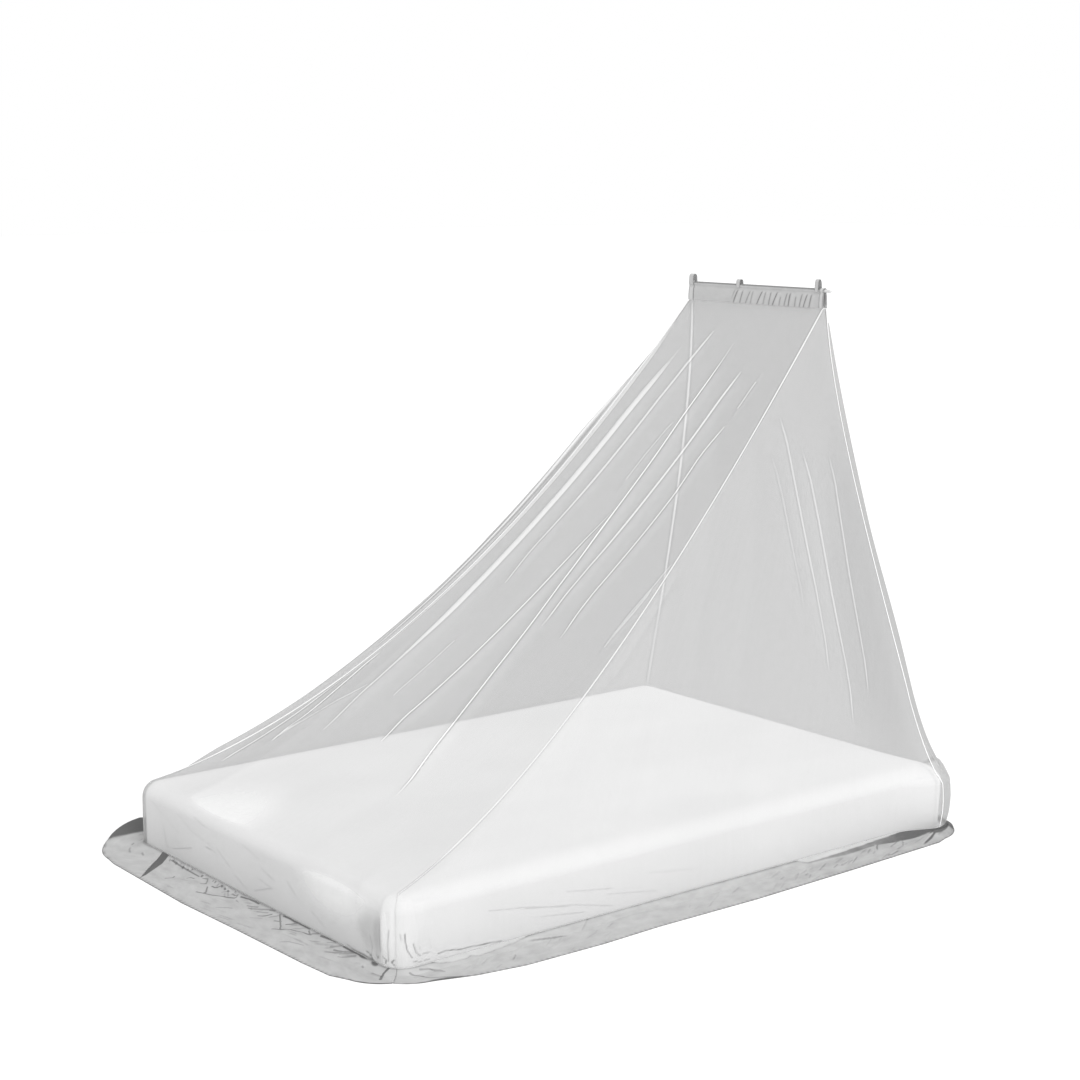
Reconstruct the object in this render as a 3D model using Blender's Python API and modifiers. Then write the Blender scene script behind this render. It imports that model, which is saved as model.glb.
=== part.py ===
"""Mosquito net canopy hung over a mattress that lies on the floor.

A wedge-shaped tent of fine net is gathered into a short fabric sleeve on a
spreader rod, 1.6 m up over the head end. Four panels fall from it: a long one
slopes down to the foot, one hangs at each long side and one hangs at the head.
They are joined along four bound seams, wrap over the edge of the mattress like a
fitted sheet, and end in a woven skirt that lies out on the floor.

Units are metres and +Z is up. The origin is on the floor under the middle of the
mattress; +Y is the head end and +X the right-hand long side.
"""

import math

import bmesh
import bpy
import numpy as np
from mathutils import Matrix, Vector

# ---------------------------------------------------------------- mattress
BED_WIDTH = 1.35
BED_LENGTH = 2.00
BED_HEIGHT = 0.20
BED_CORNER = 0.06          # plan radius of the four upright corners
BED_EDGE = 0.045           # radius of the soft top edge
BED_FOOT_EDGE = 0.012      # radius of the bottom edge
CORNER_STEPS = 6
EDGE_STEPS = 5

# ---------------------------------------------------------------- cloth
NET_THICKNESS = 0.0012
NET_CLEARANCE = 0.0038     # from the mattress to the middle of the net
NET_HEM_HEIGHT = 0.0190    # where the net ends and the skirt begins
SEAM_RADIUS = 0.0025       # the bound seams are thin rolled beads
SEAM_CLEARANCE = 0.0052    # from the mattress to the middle of a bead
SEAM_TO_PANEL = 0.0033     # from the middle of a bead to the edge of a panel
SEAM_TOP_DROP = 0.0045     # the beads start this far under the sleeve
SEAM_FOOT_HEIGHT = 0.0212
SEAM_SIDES = 6

# ---------------------------------------------------------------- sleeve and rod
SLEEVE_WIDTH = 0.604
SLEEVE_Y = 0.85
SLEEVE_BOTTOM = 1.572
SLEEVE_HALF_GAP = 0.008    # half the distance between its front and back walls
SLEEVE_THICKNESS = 0.0012
ROD_RADIUS = 0.005
ROD_HEIGHT = SLEEVE_BOTTOM + 0.0525
ROD_LEFT = -0.296
ROD_RIGHT = 0.327
CHANNEL_RADIUS = 0.0064    # middle of the cloth around the rod
CHANNEL_ANGLES = (-42, -9, 24, 57)      # where the front cloth's points stand on it
PINCH_HALF_GAP = 0.0013    # the stitched line under the rod
PINCH_DROP = 0.0085        # from the rod's middle to that line
BINDING_OFFSET = 0.00145   # from the sleeve's middle line to the binding's
BINDING_THICKNESS = 0.0010
TAB_THICKNESS = 0.0013
SEAT_GAP = 0.00035

# ---------------------------------------------------------------- skirt
SKIRT_THICKNESS = 0.0012
SKIRT_TOP = 0.0182
SKIRT_REST = 0.0008        # height of the skirt's middle where it lies flat
SKIRT_JOINT = 0.0006       # gap between two strips of the skirt

# ---------------------------------------------------------------- mesh steps
ARC_COLUMNS = 3            # columns across half a corner
FREE_ROWS = 12             # rows from the sleeve to the mattress
WRAP_ROWS = 4              # rows over the mattress's edge
DOWN_ROWS = 2              # rows down its side
LAST_ROW_T = 1.5           # the fold tables count wrap and side as t = 1 to 1.5
LANDING_STEPS = 8          # rounds that find where a column meets the mattress
EARLIEST_LANDING = math.radians(9)      # angle over the mattress's edge
LATEST_LANDING = math.radians(79)
LEAST_SINE = 0.25          # limits how far a slanted row is trimmed at a seam

# Lengths over which folds fade out: along their own run, then in shares of the
# panel beside its seams, under the sleeve and over the hem.
FOLD_END_FADE = 0.2
FOLD_SEAM_FADE = 0.035
FOLD_TOP_FADE = 0.05
FOLD_HEM_FADE = 0.08

HALF_ARC = math.pi / 4 * BED_CORNER
CORE_X = BED_WIDTH / 2 - BED_CORNER
CORE_Y = BED_LENGTH / 2 - BED_CORNER
LONG_LEG = 2 * CORE_Y + 2 * HALF_ARC
SHORT_LEG = 2 * CORE_X + 2 * HALF_ARC
LEGS = (LONG_LEG, SHORT_LEG, LONG_LEG, SHORT_LEG)   # right, head, left, foot
LEG_STARTS = (0.0, LONG_LEG, LONG_LEG + SHORT_LEG, 2 * LONG_LEG + SHORT_LEG)
CORNERS = ((1, -1), (1, 1), (-1, 1), (-1, -1))      # where each leg starts
RIGHT, HEAD, LEFT, FOOT = range(4)

# Each bound seam runs from an end of the sleeve to a corner of the mattress. Its
# middle lies off the straight line by "out" (away from the bed's centre line),
# "along" (+Y) and "up", and "skew" moves the sag towards the mattress.
SEAMS = (
    # name              out     along   up     skew
    ("seam_foot_right", 0.010, -0.091, -0.243, 0.03),
    ("seam_head_right", -0.064, 0.000, 0.064, -0.50),
    ("seam_head_left", -0.050, -0.009, 0.026, -0.44),
    ("seam_foot_left", -0.028, -0.068, -0.250, -0.06),
)

# Places where the net hangs clear of the mattress's side, by the distance along the
# mattress's outline: middle, half length and how far out.
STAND_OFFS = (
    # middle, half length, out
    (LEG_STARTS[HEAD] + 0.015, 0.190, 0.066),
    (LEG_STARTS[FOOT] + 0.010, 0.120, 0.006),
)
# How much of the stand-off each level has: the net flares out just over the
# mattress, puffs out furthest half-way down its side and is drawn in at the hem.
STAND_OFF_SHARES = (
    # level, share
    (0.86, 0.00),
    (0.92, 0.12),
    (0.96, 0.30),
    (1.00, 0.60),
    (1.10, 0.72),
    (1.20, 0.82),
    (1.33, 0.93),
    (1.40, 1.00),
    (1.44, 0.97),
    (1.50, 0.82),
)

# "belly" is how far the middle of a panel stands off the surface between its two
# seams (x, y, z), and "fullness" how soon it does so from the seam.
PANELS = (
    # name              leg    columns  belly                fullness
    ("net_side_right", RIGHT, 11, (0.012, 0.0, 0.0), 2),
    ("net_head", HEAD, 15, (0.0, 0.050, 0.0), 4),
    ("net_side_left", LEFT, 11, (-0.020, 0.0, 0.0), 4),
    ("net_roof", FOOT, 26, (0.0, -0.004, -0.016), 2),
)

# Folds of each panel. u runs from the panel's first seam to its second, t from
# the sleeve (0) to the mattress's edge (1) and on down its side (1.5).
FOLDS = {
    "net_roof": (
        # u start, t start, u end, t end, height, half width
        (0.165, 0.04, 0.145, 0.50, 0.016, 0.026),
        (0.145, 0.42, 0.20, 0.78, 0.016, 0.026),
        (0.32, 0.03, 0.25, 0.43, 0.010, 0.024),
        (0.53, 0.04, 0.525, 0.36, 0.014, 0.026),
        (0.505, 0.27, 0.425, 0.74, 0.014, 0.026),
        (0.525, 0.30, 0.673, 0.82, 0.013, 0.024),
        (0.70, 0.07, 0.587, 0.47, 0.012, 0.026),
        (0.80, 0.14, 0.708, 0.48, 0.009, 0.024),
        (0.09, 0.50, 0.22, 1.10, 0.008, 0.030),
        (0.88, 0.95, 0.90, 1.45, 0.006, 0.020),
        (0.35, 1.00, 0.42, 1.45, 0.004, 0.030),
    ),
    "net_side_right": (
        (0.04, 0.95, 0.03, 1.45, 0.009, 0.022),
        (0.10, 0.98, 0.08, 1.45, 0.005, 0.020),
        (0.05, 0.35, 0.06, 0.55, 0.006, 0.030),
    ),
    "net_head": (
        (0.035, -0.40, 0.035, 2.00, 0.022, 0.022),
        (0.035, 0.50, 0.035, 2.20, 0.014, 0.026),
        (0.185, 0.48, 0.172, 0.88, 0.014, 0.034),
        (0.345, 0.35, 0.242, 0.96, 0.016, 0.036),
        (0.465, 0.27, 0.310, 0.86, 0.015, 0.036),
        (0.62, 0.30, 0.68, 1.10, 0.016, 0.045),
        (0.86, 0.20, 0.84, 1.20, 0.018, 0.040),
    ),
    "net_side_left": (
        (0.95, 0.04, 0.95, 1.05, 0.030, 0.030),
        (0.08, 0.10, 0.07, 1.20, 0.015, 0.040),
        (0.45, 0.35, 0.55, 1.00, 0.012, 0.060),
    ),
}

# Creases pressed into the sleeve by gathering it on the rod: where each crosses
# the lower edge, how far its top leans to the right, and its depth.
CREASES = (
    # x, lean, depth
    (-0.083, 0.021, 0.0030),
    (-0.054, 0.014, 0.0020),
    (-0.028, 0.022, 0.0018),
    (0.024, 0.024, 0.0034),
    (0.051, 0.012, 0.0024),
    (0.094, 0.021, 0.0034),
    (0.122, 0.010, 0.0024),
    (0.163, 0.008, 0.0028),
    (0.190, 0.006, 0.0024),
    (0.228, 0.016, 0.0026),
    (0.252, 0.010, 0.0022),
)
CREASE_HALF_WIDTH = 0.0085
CREASE_END_FADE = 0.02     # length over which the gathering begins and ends
CREASE_TOP = 0.80          # share of the sleeve's band at which a crease has gone
CREASE_TOP_FADE = 0.35
CREASED_FROM = -0.105      # left of this the sleeve lies smooth
CREASED_TO = 0.272

END_BINDINGS = (
    # name, x from, x to
    ("end_binding_left", -0.302, -0.279),
    ("end_binding_right", 0.286, 0.302),
)

TABS = (
    # name, x from, x to, height over the sleeve, lies over an end binding
    ("hanging_tab_left", -0.300, -0.281, 0.0215, True),
    ("hanging_tab_middle", -0.080, -0.064, 0.0130, False),
    ("hanging_tab_right", 0.266, 0.280, 0.0260, False),
)
TAB_LEG = 0.0120           # how far a tab's legs reach down the sleeve

# The skirt's four strips, by the distance along the mattress's outline from the
# middle of the foot-right corner. The left strip passes the foot-left corner and
# meets the foot strip in a slit, which runs outwards at a slant.
SLIT = LEG_STARTS[FOOT] + 0.138
SLIT_SLANT = 0.130         # how much further along the slit ends
SLANT_BEFORE = 0.090       # lengths of skirt before and after it that it draws along
SLANT_AFTER = 0.400
SKIRTS = (
    # name, from, to, how far each end gapes at half its width
    ("skirt_right", LEG_STARTS[RIGHT], LEG_STARTS[HEAD], 0.0, 0.0),
    ("skirt_head", LEG_STARTS[HEAD], LEG_STARTS[LEFT], 0.0, 0.0),
    ("skirt_left", LEG_STARTS[LEFT], SLIT, 0.0, 0.002),
    ("skirt_foot", SLIT, LEG_STARTS[FOOT] + SHORT_LEG, 0.010, 0.0),
)
SKIRT_WIDTHS = (
    # distance along the outline, width out from the mattress
    (0.000, 0.057),
    (0.068, 0.078),
    (0.162, 0.109),
    (0.300, 0.132),
    (0.550, 0.138),
    (0.750, 0.131),
    (1.100, 0.136),
    (1.490, 0.126),
    (1.880, 0.111),
    (LEG_STARTS[HEAD] - 0.02, 0.086),
    (LEG_STARTS[HEAD], 0.080),
    (LEG_STARTS[HEAD] + 0.25, 0.105),
    (LEG_STARTS[HEAD] + 0.95, 0.120),
    (LEG_STARTS[LEFT], 0.095),
    (LEG_STARTS[LEFT] + 0.70, 0.115),
    (LEG_STARTS[LEFT] + 1.50, 0.125),
    (LEG_STARTS[FOOT] - 0.05, 0.145),
    (LEG_STARTS[FOOT], 0.128),
    (LEG_STARTS[FOOT] + 0.10, 0.144),
    (LEG_STARTS[FOOT] + 0.52, 0.151),
    (LEG_STARTS[FOOT] + 0.79, 0.138),
    (LEG_STARTS[FOOT] + 1.10, 0.128),
    (LEG_STARTS[FOOT] + 1.22, 0.119),
    (LEG_STARTS[FOOT] + 1.28, 0.093),
    (2 * LONG_LEG + 2 * SHORT_LEG, 0.057),
)
# Places where the skirt stands off the floor.
SKIRT_LIFTS = (
    # middle along the outline, half length, height, where across (0 seam, 1 edge)
    (LEG_STARTS[FOOT] - 0.055, 0.085, 0.038, 1.0),
    (LEG_STARTS[HEAD] - 0.050, 0.100, 0.016, 0.45),
    (LEG_STARTS[HEAD] - 0.300, 0.120, 0.008, 0.40),
    (LEG_STARTS[FOOT] + 0.420, 0.100, 0.007, 0.40),
    (LEG_STARTS[FOOT] + 0.640, 0.070, 0.006, 0.35),
    (LEG_STARTS[FOOT] + 0.930, 0.110, 0.007, 0.40),
    (LEG_STARTS[HEAD] - 1.250, 0.120, 0.006, 0.35),
    (LEG_STARTS[LEFT] + 0.900, 0.140, 0.007, 0.40),
    (LEG_STARTS[HEAD] + 0.600, 0.150, 0.008, 0.40),
)
SKIRT_COLUMN_PITCH = 0.085
SKIRT_END_MARGIN = 0.012   # no other column stands this close to a strip's end
LIFT_DRAW = 0.35           # how far a raised place is drawn in, by its height
EDGE_LIFT_POWER = 1.6      # how late a raised outer edge rises
# Section of the skirt: share of the way from the mattress to its outer edge, and
# height as a share of the way from the floor to the seam.
SKIRT_SECTION = (
    # share out, share up
    (0.0, 1.0),
    (0.09, 0.52),
    (0.22, 0.12),
    (0.45, 0.0),
    (1.0, 0.0),
)


# ================================================================ scene set-up
def clear_scene():
    """Remove whatever objects the file holds."""
    for found in list(bpy.data.objects):
        bpy.data.objects.remove(found, do_unlink=True)


def new_collection(name):
    """A collection linked to the scene."""
    collection = bpy.data.collections.new(name)
    bpy.context.scene.collection.children.link(collection)
    return collection


def material(name, colour, roughness, alpha=1.0):
    """A plain Principled material."""
    finish = bpy.data.materials.new(name)
    finish.use_nodes = True
    shader = finish.node_tree.nodes["Principled BSDF"]
    shader.inputs["Base Color"].default_value = (*colour, 1.0)
    shader.inputs["Roughness"].default_value = roughness
    shader.inputs["Metallic"].default_value = 0.0
    shader.inputs["Alpha"].default_value = alpha
    return finish


def add_object(name, mesh, finish, collection):
    """Put a mesh in the collection as a named object with its material."""
    piece = bpy.data.objects.new(name, mesh)
    mesh.materials.append(finish)
    collection.objects.link(piece)
    return piece


# ================================================================ shared shapes
def smooth(value):
    """0 to 1 with level ends, clamped."""
    value = min(max(value, 0.0), 1.0)
    return value * value * (3 - 2 * value)


def sheet_mesh(name, points):
    """A grid mesh whose corner (i, j) lies at points[i, j]."""
    columns, rows = points.shape[0] - 1, points.shape[1] - 1
    bm = bmesh.new()
    bmesh.ops.create_grid(bm, x_segments=columns, y_segments=rows, size=1.0)
    for vert in bm.verts:
        column = round((vert.co.x + 1) / 2 * columns)
        row = round((vert.co.y + 1) / 2 * rows)
        vert.co = points[column, row]
    mesh = bpy.data.meshes.new(name)
    bm.to_mesh(mesh)
    bm.free()
    for face in mesh.polygons:
        face.use_smooth = True
    return mesh


def add_sheet(name, points, thickness, finish, collection):
    """A cloth sheet of even thickness, centred on its grid of points."""
    piece = add_object(name, sheet_mesh(name, points), finish, collection)
    wall = piece.modifiers.new("thickness", "SOLIDIFY")
    wall.thickness = thickness
    wall.offset = 0.0
    return piece


# ================================================================ bed outline
def outline(distance):
    """Core point and outward direction at a distance along the bed's outline.

    The outline itself lies BED_CORNER out from the core point. It starts at the
    middle of the foot-right corner and runs up the right side, across the head,
    down the left side and back along the foot.
    """
    leg = 0
    while leg < FOOT and distance > LEGS[leg]:
        distance -= LEGS[leg]
        leg += 1
    start_x, start_y = CORNERS[leg]
    end_x, end_y = CORNERS[(leg + 1) % 4]
    start = Vector((start_x * CORE_X, start_y * CORE_Y, 0.0))
    end = Vector((end_x * CORE_X, end_y * CORE_Y, 0.0))
    straight = LEGS[leg] - 2 * HALF_ARC
    along = distance - HALF_ARC
    share = min(max(along / straight, 0.0), 1.0)
    turn = (along - share * straight) / BED_CORNER
    angle = leg * math.pi / 2 + turn
    return start.lerp(end, share), Vector((math.cos(angle), math.sin(angle), 0.0))


def over_edge(core, facing, angle, clearance):
    """A point at an angle over the mattress's soft edge: 0 is its top, 90 its side."""
    reach = BED_CORNER - BED_EDGE + (BED_EDGE + clearance) * math.sin(angle)
    height = BED_HEIGHT - BED_EDGE + (BED_EDGE + clearance) * math.cos(angle)
    return core + facing * reach + Vector((0.0, 0.0, height))


# ================================================================ net surface
def sleeve_corner(corner, drop):
    """Where a corner of the net starts, at an end of the sleeve's lower edge."""
    side, end = CORNERS[corner]
    y = SLEEVE_Y + end * SLEEVE_HALF_GAP
    return Vector((side * SLEEVE_WIDTH / 2, y, SLEEVE_BOTTOM - drop))


def seam_sag(corner):
    """How far a bound seam's middle lies off its straight line, and its skew."""
    _name, out, along, up, skew = SEAMS[corner]
    return Vector((CORNERS[corner][0] * out, along, up)), skew


def stand_off(distance, level):
    """How far the net hangs clear of the mattress's side at a place."""
    out = 0.0
    for middle, half_length, most in STAND_OFFS:
        out += most * smooth(1 - abs(distance - middle) / half_length)
    levels, shares = zip(*STAND_OFF_SHARES)
    return out * float(np.interp(level, levels, shares))


def column_rows(top, distance, sag, skew, clearance, end_height):
    """Points of one column, from the sleeve over the mattress's edge to the hem."""
    core, facing = outline(distance)
    landing = math.radians(45)
    for _step in range(LANDING_STEPS):
        end = over_edge(core, facing, landing, clearance)
        slope = (end - top) - 4 * sag * (1 + skew)
        landing = math.atan2(-slope.z, slope.dot(facing))
        landing = min(max(landing, EARLIEST_LANDING), LATEST_LANDING)
    end = over_edge(core, facing, landing, clearance)
    push = facing * math.sin(landing) + Vector((0.0, 0.0, math.cos(landing)))
    rows = []
    for step in range(FREE_ROWS):
        t = step / FREE_ROWS
        bow = 4 * t * (1 - t) * (1 + skew * (2 * t - 1))
        rows.append(top.lerp(end, t) + sag * bow + push * stand_off(distance, t))
    levels = row_values()
    for step in range(WRAP_ROWS):
        angle = landing + (math.pi / 2 - landing) * step / WRAP_ROWS
        clear = stand_off(distance, levels[len(rows)])
        rows.append(over_edge(core, facing, angle, clearance + clear))
    for step in range(DOWN_ROWS + 1):
        clear = stand_off(distance, levels[len(rows)])
        side = over_edge(core, facing, math.pi / 2, clearance + clear)
        height = side.z + (end_height - side.z) * step / DOWN_ROWS
        rows.append(Vector((side.x, side.y, height)))
    return rows


def row_values():
    """The t value of every row of a column."""
    free = [step / FREE_ROWS for step in range(FREE_ROWS)]
    below = WRAP_ROWS + DOWN_ROWS
    return free + [1 + (LAST_ROW_T - 1) * step / below for step in range(below + 1)]


def column_shares(leg, middle_columns):
    """Shares of a leg's length at which its columns stand, close at the corners."""
    arc_share = HALF_ARC / LEGS[leg]
    start = [arc_share * step / ARC_COLUMNS for step in range(ARC_COLUMNS)]
    middle = [
        arc_share + (1 - 2 * arc_share) * step / middle_columns
        for step in range(middle_columns)
    ]
    end = [1 - arc_share + arc_share * step / ARC_COLUMNS for step in range(ARC_COLUMNS + 1)]
    return start + middle + end


def panel_base(leg, shares, belly, fullness):
    """The panel without folds, from seam line to seam line."""
    first, second = leg, (leg + 1) % 4
    sag_first, skew_first = seam_sag(first)
    sag_second, skew_second = seam_sag(second)
    drop = NET_THICKNESS
    columns = []
    for index, u in enumerate(shares):
        distance = LEG_STARTS[leg] + u * LEGS[leg]
        # the side panels narrow to a point, where their columns stand evenly
        top_share = index / (len(shares) - 1) if leg in (RIGHT, LEFT) else u
        top = sleeve_corner(first, drop).lerp(sleeve_corner(second, drop), top_share)
        swell = 1 - abs(2 * u - 1) ** fullness
        sag = sag_first.lerp(sag_second, u) + Vector(belly) * swell
        skew = skew_first * (1 - u) + skew_second * u
        rows = column_rows(top, distance, sag, skew, NET_CLEARANCE, NET_HEM_HEIGHT)
        columns.append([tuple(point) for point in rows])
    return np.array(columns)


def surface_normals(points):
    """Unit normals of a grid of points, away from the inside of the tent."""
    across = np.gradient(points, axis=0)
    down = np.gradient(points, axis=1)
    normals = np.cross(down, across)
    lengths = np.linalg.norm(normals, axis=2, keepdims=True)
    return normals / np.maximum(lengths, 1e-12)


def fold_heights(folds, shares, levels):
    """How far the folds lift each point of a panel off its base."""
    u = np.array(shares)[:, None]
    t = np.array(levels)[None, :]
    heights = np.zeros((len(shares), len(levels)))
    for u_start, t_start, u_end, t_end, height, half_width in folds:
        run = (t - t_start) / (t_end - t_start)
        centre = u_start + (u_end - u_start) * np.clip(run, 0, 1)
        fade = np.clip(np.minimum(run, 1 - run) / FOLD_END_FADE, 0, 1)
        heights += height * fade * np.exp(-((u - centre) / half_width) ** 2)
    seam_fade = np.clip(np.minimum(u, 1 - u) / FOLD_SEAM_FADE, 0, 1)
    top_fade = np.clip(t / FOLD_TOP_FADE, 0, 1)
    hem_fade = np.clip((LAST_ROW_T - t) / FOLD_HEM_FADE, 0, 1)
    return heights * seam_fade * top_fade * hem_fade


def seam_margins(seam_line, next_line):
    """How far along each row a panel starts, to stay square to its seam's bead."""
    tangents = np.gradient(seam_line, axis=0)
    tangents /= np.linalg.norm(tangents, axis=1, keepdims=True)
    rows = next_line - seam_line
    rows /= np.linalg.norm(rows, axis=1, keepdims=True)
    sines = np.linalg.norm(np.cross(tangents, rows), axis=1)
    return SEAM_TO_PANEL / np.maximum(sines, LEAST_SINE)


def trim_to_seams(points):
    """Draw a panel's two side edges back from the middle of their seams."""
    starts = seam_margins(points[0], points[1])
    ends = seam_margins(points[-1], points[-2])
    trimmed = points.copy()
    for row in range(points.shape[1]):
        line = points[:, row]
        steps = np.linalg.norm(np.diff(line, axis=0), axis=1)
        lengths = np.concatenate(([0.0], np.cumsum(steps)))
        kept = 1 - (starts[row] + ends[row]) / lengths[-1]
        wanted = starts[row] + lengths * kept
        for axis in range(3):
            trimmed[:, row, axis] = np.interp(wanted, lengths, line[:, axis])
    return trimmed


def make_panels(finish, collection):
    """The four net panels."""
    levels = row_values()
    for name, leg, middle_columns, belly, fullness in PANELS:
        shares = column_shares(leg, middle_columns)
        base = panel_base(leg, shares, belly, fullness)
        lift = fold_heights(FOLDS[name], shares, levels)
        folded = base + surface_normals(base) * lift[:, :, None]
        add_sheet(name, trim_to_seams(folded), NET_THICKNESS, finish, collection)


def make_seams(finish, collection):
    """The four bound seams, each a thin bead from the sleeve to the skirt."""
    for corner, (name, *_bow) in enumerate(SEAMS):
        sag, skew = seam_sag(corner)
        top = sleeve_corner(corner, NET_THICKNESS)
        start = LEG_STARTS[corner]
        rows = column_rows(top, start, sag, skew, SEAM_CLEARANCE, SEAM_FOOT_HEIGHT)
        first_step = rows[1] - rows[0]
        rows[0] = rows[0] + first_step * (SEAM_TOP_DROP / abs(first_step.z))
        curve = bpy.data.curves.new(name, "CURVE")
        curve.dimensions = "3D"
        curve.bevel_depth = SEAM_RADIUS
        curve.bevel_resolution = (SEAM_SIDES - 4) // 2
        curve.use_fill_caps = True
        spline = curve.splines.new("POLY")
        spline.points.add(len(rows) - 1)
        for point, position in zip(spline.points, rows):
            point.co = (*position, 1.0)
        curve.materials.append(finish)
        bead = bpy.data.objects.new(name, curve)
        collection.objects.link(bead)


# ================================================================ sleeve, rod, tabs
def sleeve_section(offset, bottom):
    """Section of the sleeve, (y off its middle, z): up the front, over the rod, down.

    The rod's channel is round, a stitched line pinches the walls together under
    it, and the walls part again towards the lower edge.
    """
    centre = ROD_HEIGHT
    pinch = centre - PINCH_DROP
    wall = (
        (SLEEVE_HALF_GAP + offset, bottom),
        (SLEEVE_HALF_GAP + 0.0004 + offset, bottom + 0.013),
        (SLEEVE_HALF_GAP - 0.0004 + offset, bottom + 0.027),
        (0.6 * SLEEVE_HALF_GAP + offset, bottom + 0.037),
        (PINCH_HALF_GAP + offset, pinch),
    )
    radius = CHANNEL_RADIUS + offset
    over_rod = []
    for degrees in CHANNEL_ANGLES:
        angle = math.radians(degrees)
        over_rod.append((-radius * math.cos(angle), centre + radius * math.sin(angle)))
    front = [(-y, z) for y, z in wall] + over_rod
    back = [(-y, z) for y, z in reversed(front)]
    return front + [(0.0, centre + radius)] + back


def crease_depth(x, height_share):
    """How far the gathering pushes the sleeve's walls out at a place."""
    started = smooth((x - CREASED_FROM) / CREASE_END_FADE)
    inside = started * smooth((CREASED_TO - x) / CREASE_END_FADE)
    depth = 0.0
    for low_x, lean, deep in CREASES:
        centre = low_x + lean * height_share
        depth += deep * math.exp(-(((x - centre) / CREASE_HALF_WIDTH) ** 2))
    fade = smooth((CREASE_TOP - height_share) / CREASE_TOP_FADE)
    return depth * fade * inside


def sleeve_stations():
    """Stations along the sleeve, close together where it is gathered."""
    left, right = -SLEEVE_WIDTH / 2, SLEEVE_WIDTH / 2
    plain = np.linspace(left, CREASED_FROM, 7)
    gathered = np.linspace(CREASED_FROM, CREASED_TO, 36)
    return list(plain) + list(gathered[1:]) + [right]


def make_sleeve(finish, collection):
    """The gathered sleeve that the rod runs through."""
    section = sleeve_section(0.0, SLEEVE_BOTTOM)
    band = ROD_HEIGHT - PINCH_DROP - SLEEVE_BOTTOM
    columns = []
    for x in sleeve_stations():
        points = []
        for y, z in section:
            push = crease_depth(x, (z - SLEEVE_BOTTOM) / band)
            points.append((x, SLEEVE_Y + y + math.copysign(push, y), z))
        columns.append(points)
    add_sheet("header_sleeve", np.array(columns), SLEEVE_THICKNESS, finish, collection)


def make_end_bindings(finish, collection):
    """A folded strip over each end of the sleeve."""
    section = sleeve_section(BINDING_OFFSET, SLEEVE_BOTTOM)
    for name, left, right in END_BINDINGS:
        columns = [[(x, SLEEVE_Y + y, z) for y, z in section] for x in (left, right)]
        add_sheet(name, np.array(columns), BINDING_THICKNESS, finish, collection)


def make_tabs(finish, collection):
    """Three tape loops on top of the sleeve, which the hanging cords pass through."""
    for name, left, right, height, over_binding in TABS:
        radius = CHANNEL_RADIUS + SLEEVE_THICKNESS / 2 + SEAT_GAP + TAB_THICKNESS / 2
        if over_binding:
            radius += BINDING_THICKNESS + SEAT_GAP
        top = ROD_HEIGHT + radius + height
        leg_bottom = ROD_HEIGHT + radius - TAB_LEG
        front = (
            (-radius, leg_bottom),
            (-radius, ROD_HEIGHT),
            (-radius, ROD_HEIGHT + radius * 0.7),
            (-0.92 * radius, top - 0.65 * height),
            (-0.80 * radius, top - 0.28 * height),
            (-0.42 * radius, top - 0.06 * height),
        )
        back = tuple((-y, z) for y, z in reversed(front))
        section = front + ((0.0, top),) + back
        columns = [[(x, SLEEVE_Y + y, z) for y, z in section] for x in (left, right)]
        add_sheet(name, np.array(columns), TAB_THICKNESS, finish, collection)


def make_rod(finish, collection):
    """The round spreader rod, with rounded tips."""
    bm = bmesh.new()
    bmesh.ops.create_cone(
        bm,
        cap_ends=True,
        segments=16,
        radius1=ROD_RADIUS,
        radius2=ROD_RADIUS,
        depth=ROD_RIGHT - ROD_LEFT,
    )
    rims = [edge for edge in bm.edges if len({round(v.co.z, 4) for v in edge.verts}) == 1]
    bmesh.ops.bevel(
        bm,
        geom=rims,
        offset=0.7 * ROD_RADIUS,
        offset_type="OFFSET",
        segments=3,
        profile=0.5,
        affect="EDGES",
        material=-1,
    )
    mesh = bpy.data.meshes.new("spreader_rod")
    bm.to_mesh(mesh)
    bm.free()
    mesh.shade_smooth()
    mesh.set_sharp_from_angle(angle=math.radians(40))
    rod = add_object("spreader_rod", mesh, finish, collection)
    rod.location = ((ROD_LEFT + ROD_RIGHT) / 2, SLEEVE_Y, ROD_HEIGHT)
    rod.rotation_euler = (0.0, math.pi / 2, 0.0)


# ================================================================ skirt
def skirt_height(distance, share_out):
    """How far the skirt stands off its plain section at a place."""
    rise = 0.0
    for middle, half_length, height, across in SKIRT_LIFTS:
        along = smooth(1 - abs(distance - middle) / half_length)
        if across >= 1:
            spread = share_out**EDGE_LIFT_POWER
        else:
            spread = smooth(1 - abs(share_out - across) / across)
        rise += height * along * spread
    return rise


def slit_slide(distance, share_out):
    """How far the slant of the slit draws a place along the outline."""
    length = SLANT_BEFORE if distance < SLIT else SLANT_AFTER
    return SLIT_SLANT * share_out * max(0.0, 1 - abs(distance - SLIT) / length)


def skirt_stations(start, end):
    """Distances along the outline at which a strip of skirt has its columns."""
    stations = []
    for leg, leg_start in enumerate(LEG_STARTS):
        middle_columns = round(LEGS[leg] / SKIRT_COLUMN_PITCH)
        for share in column_shares(leg, middle_columns):
            stations.append(leg_start + share * LEGS[leg])
    first, last = start + SKIRT_END_MARGIN, end - SKIRT_END_MARGIN
    inner = sorted({round(d, 6) for d in stations if first < d < last})
    return [start] + inner + [end]


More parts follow.
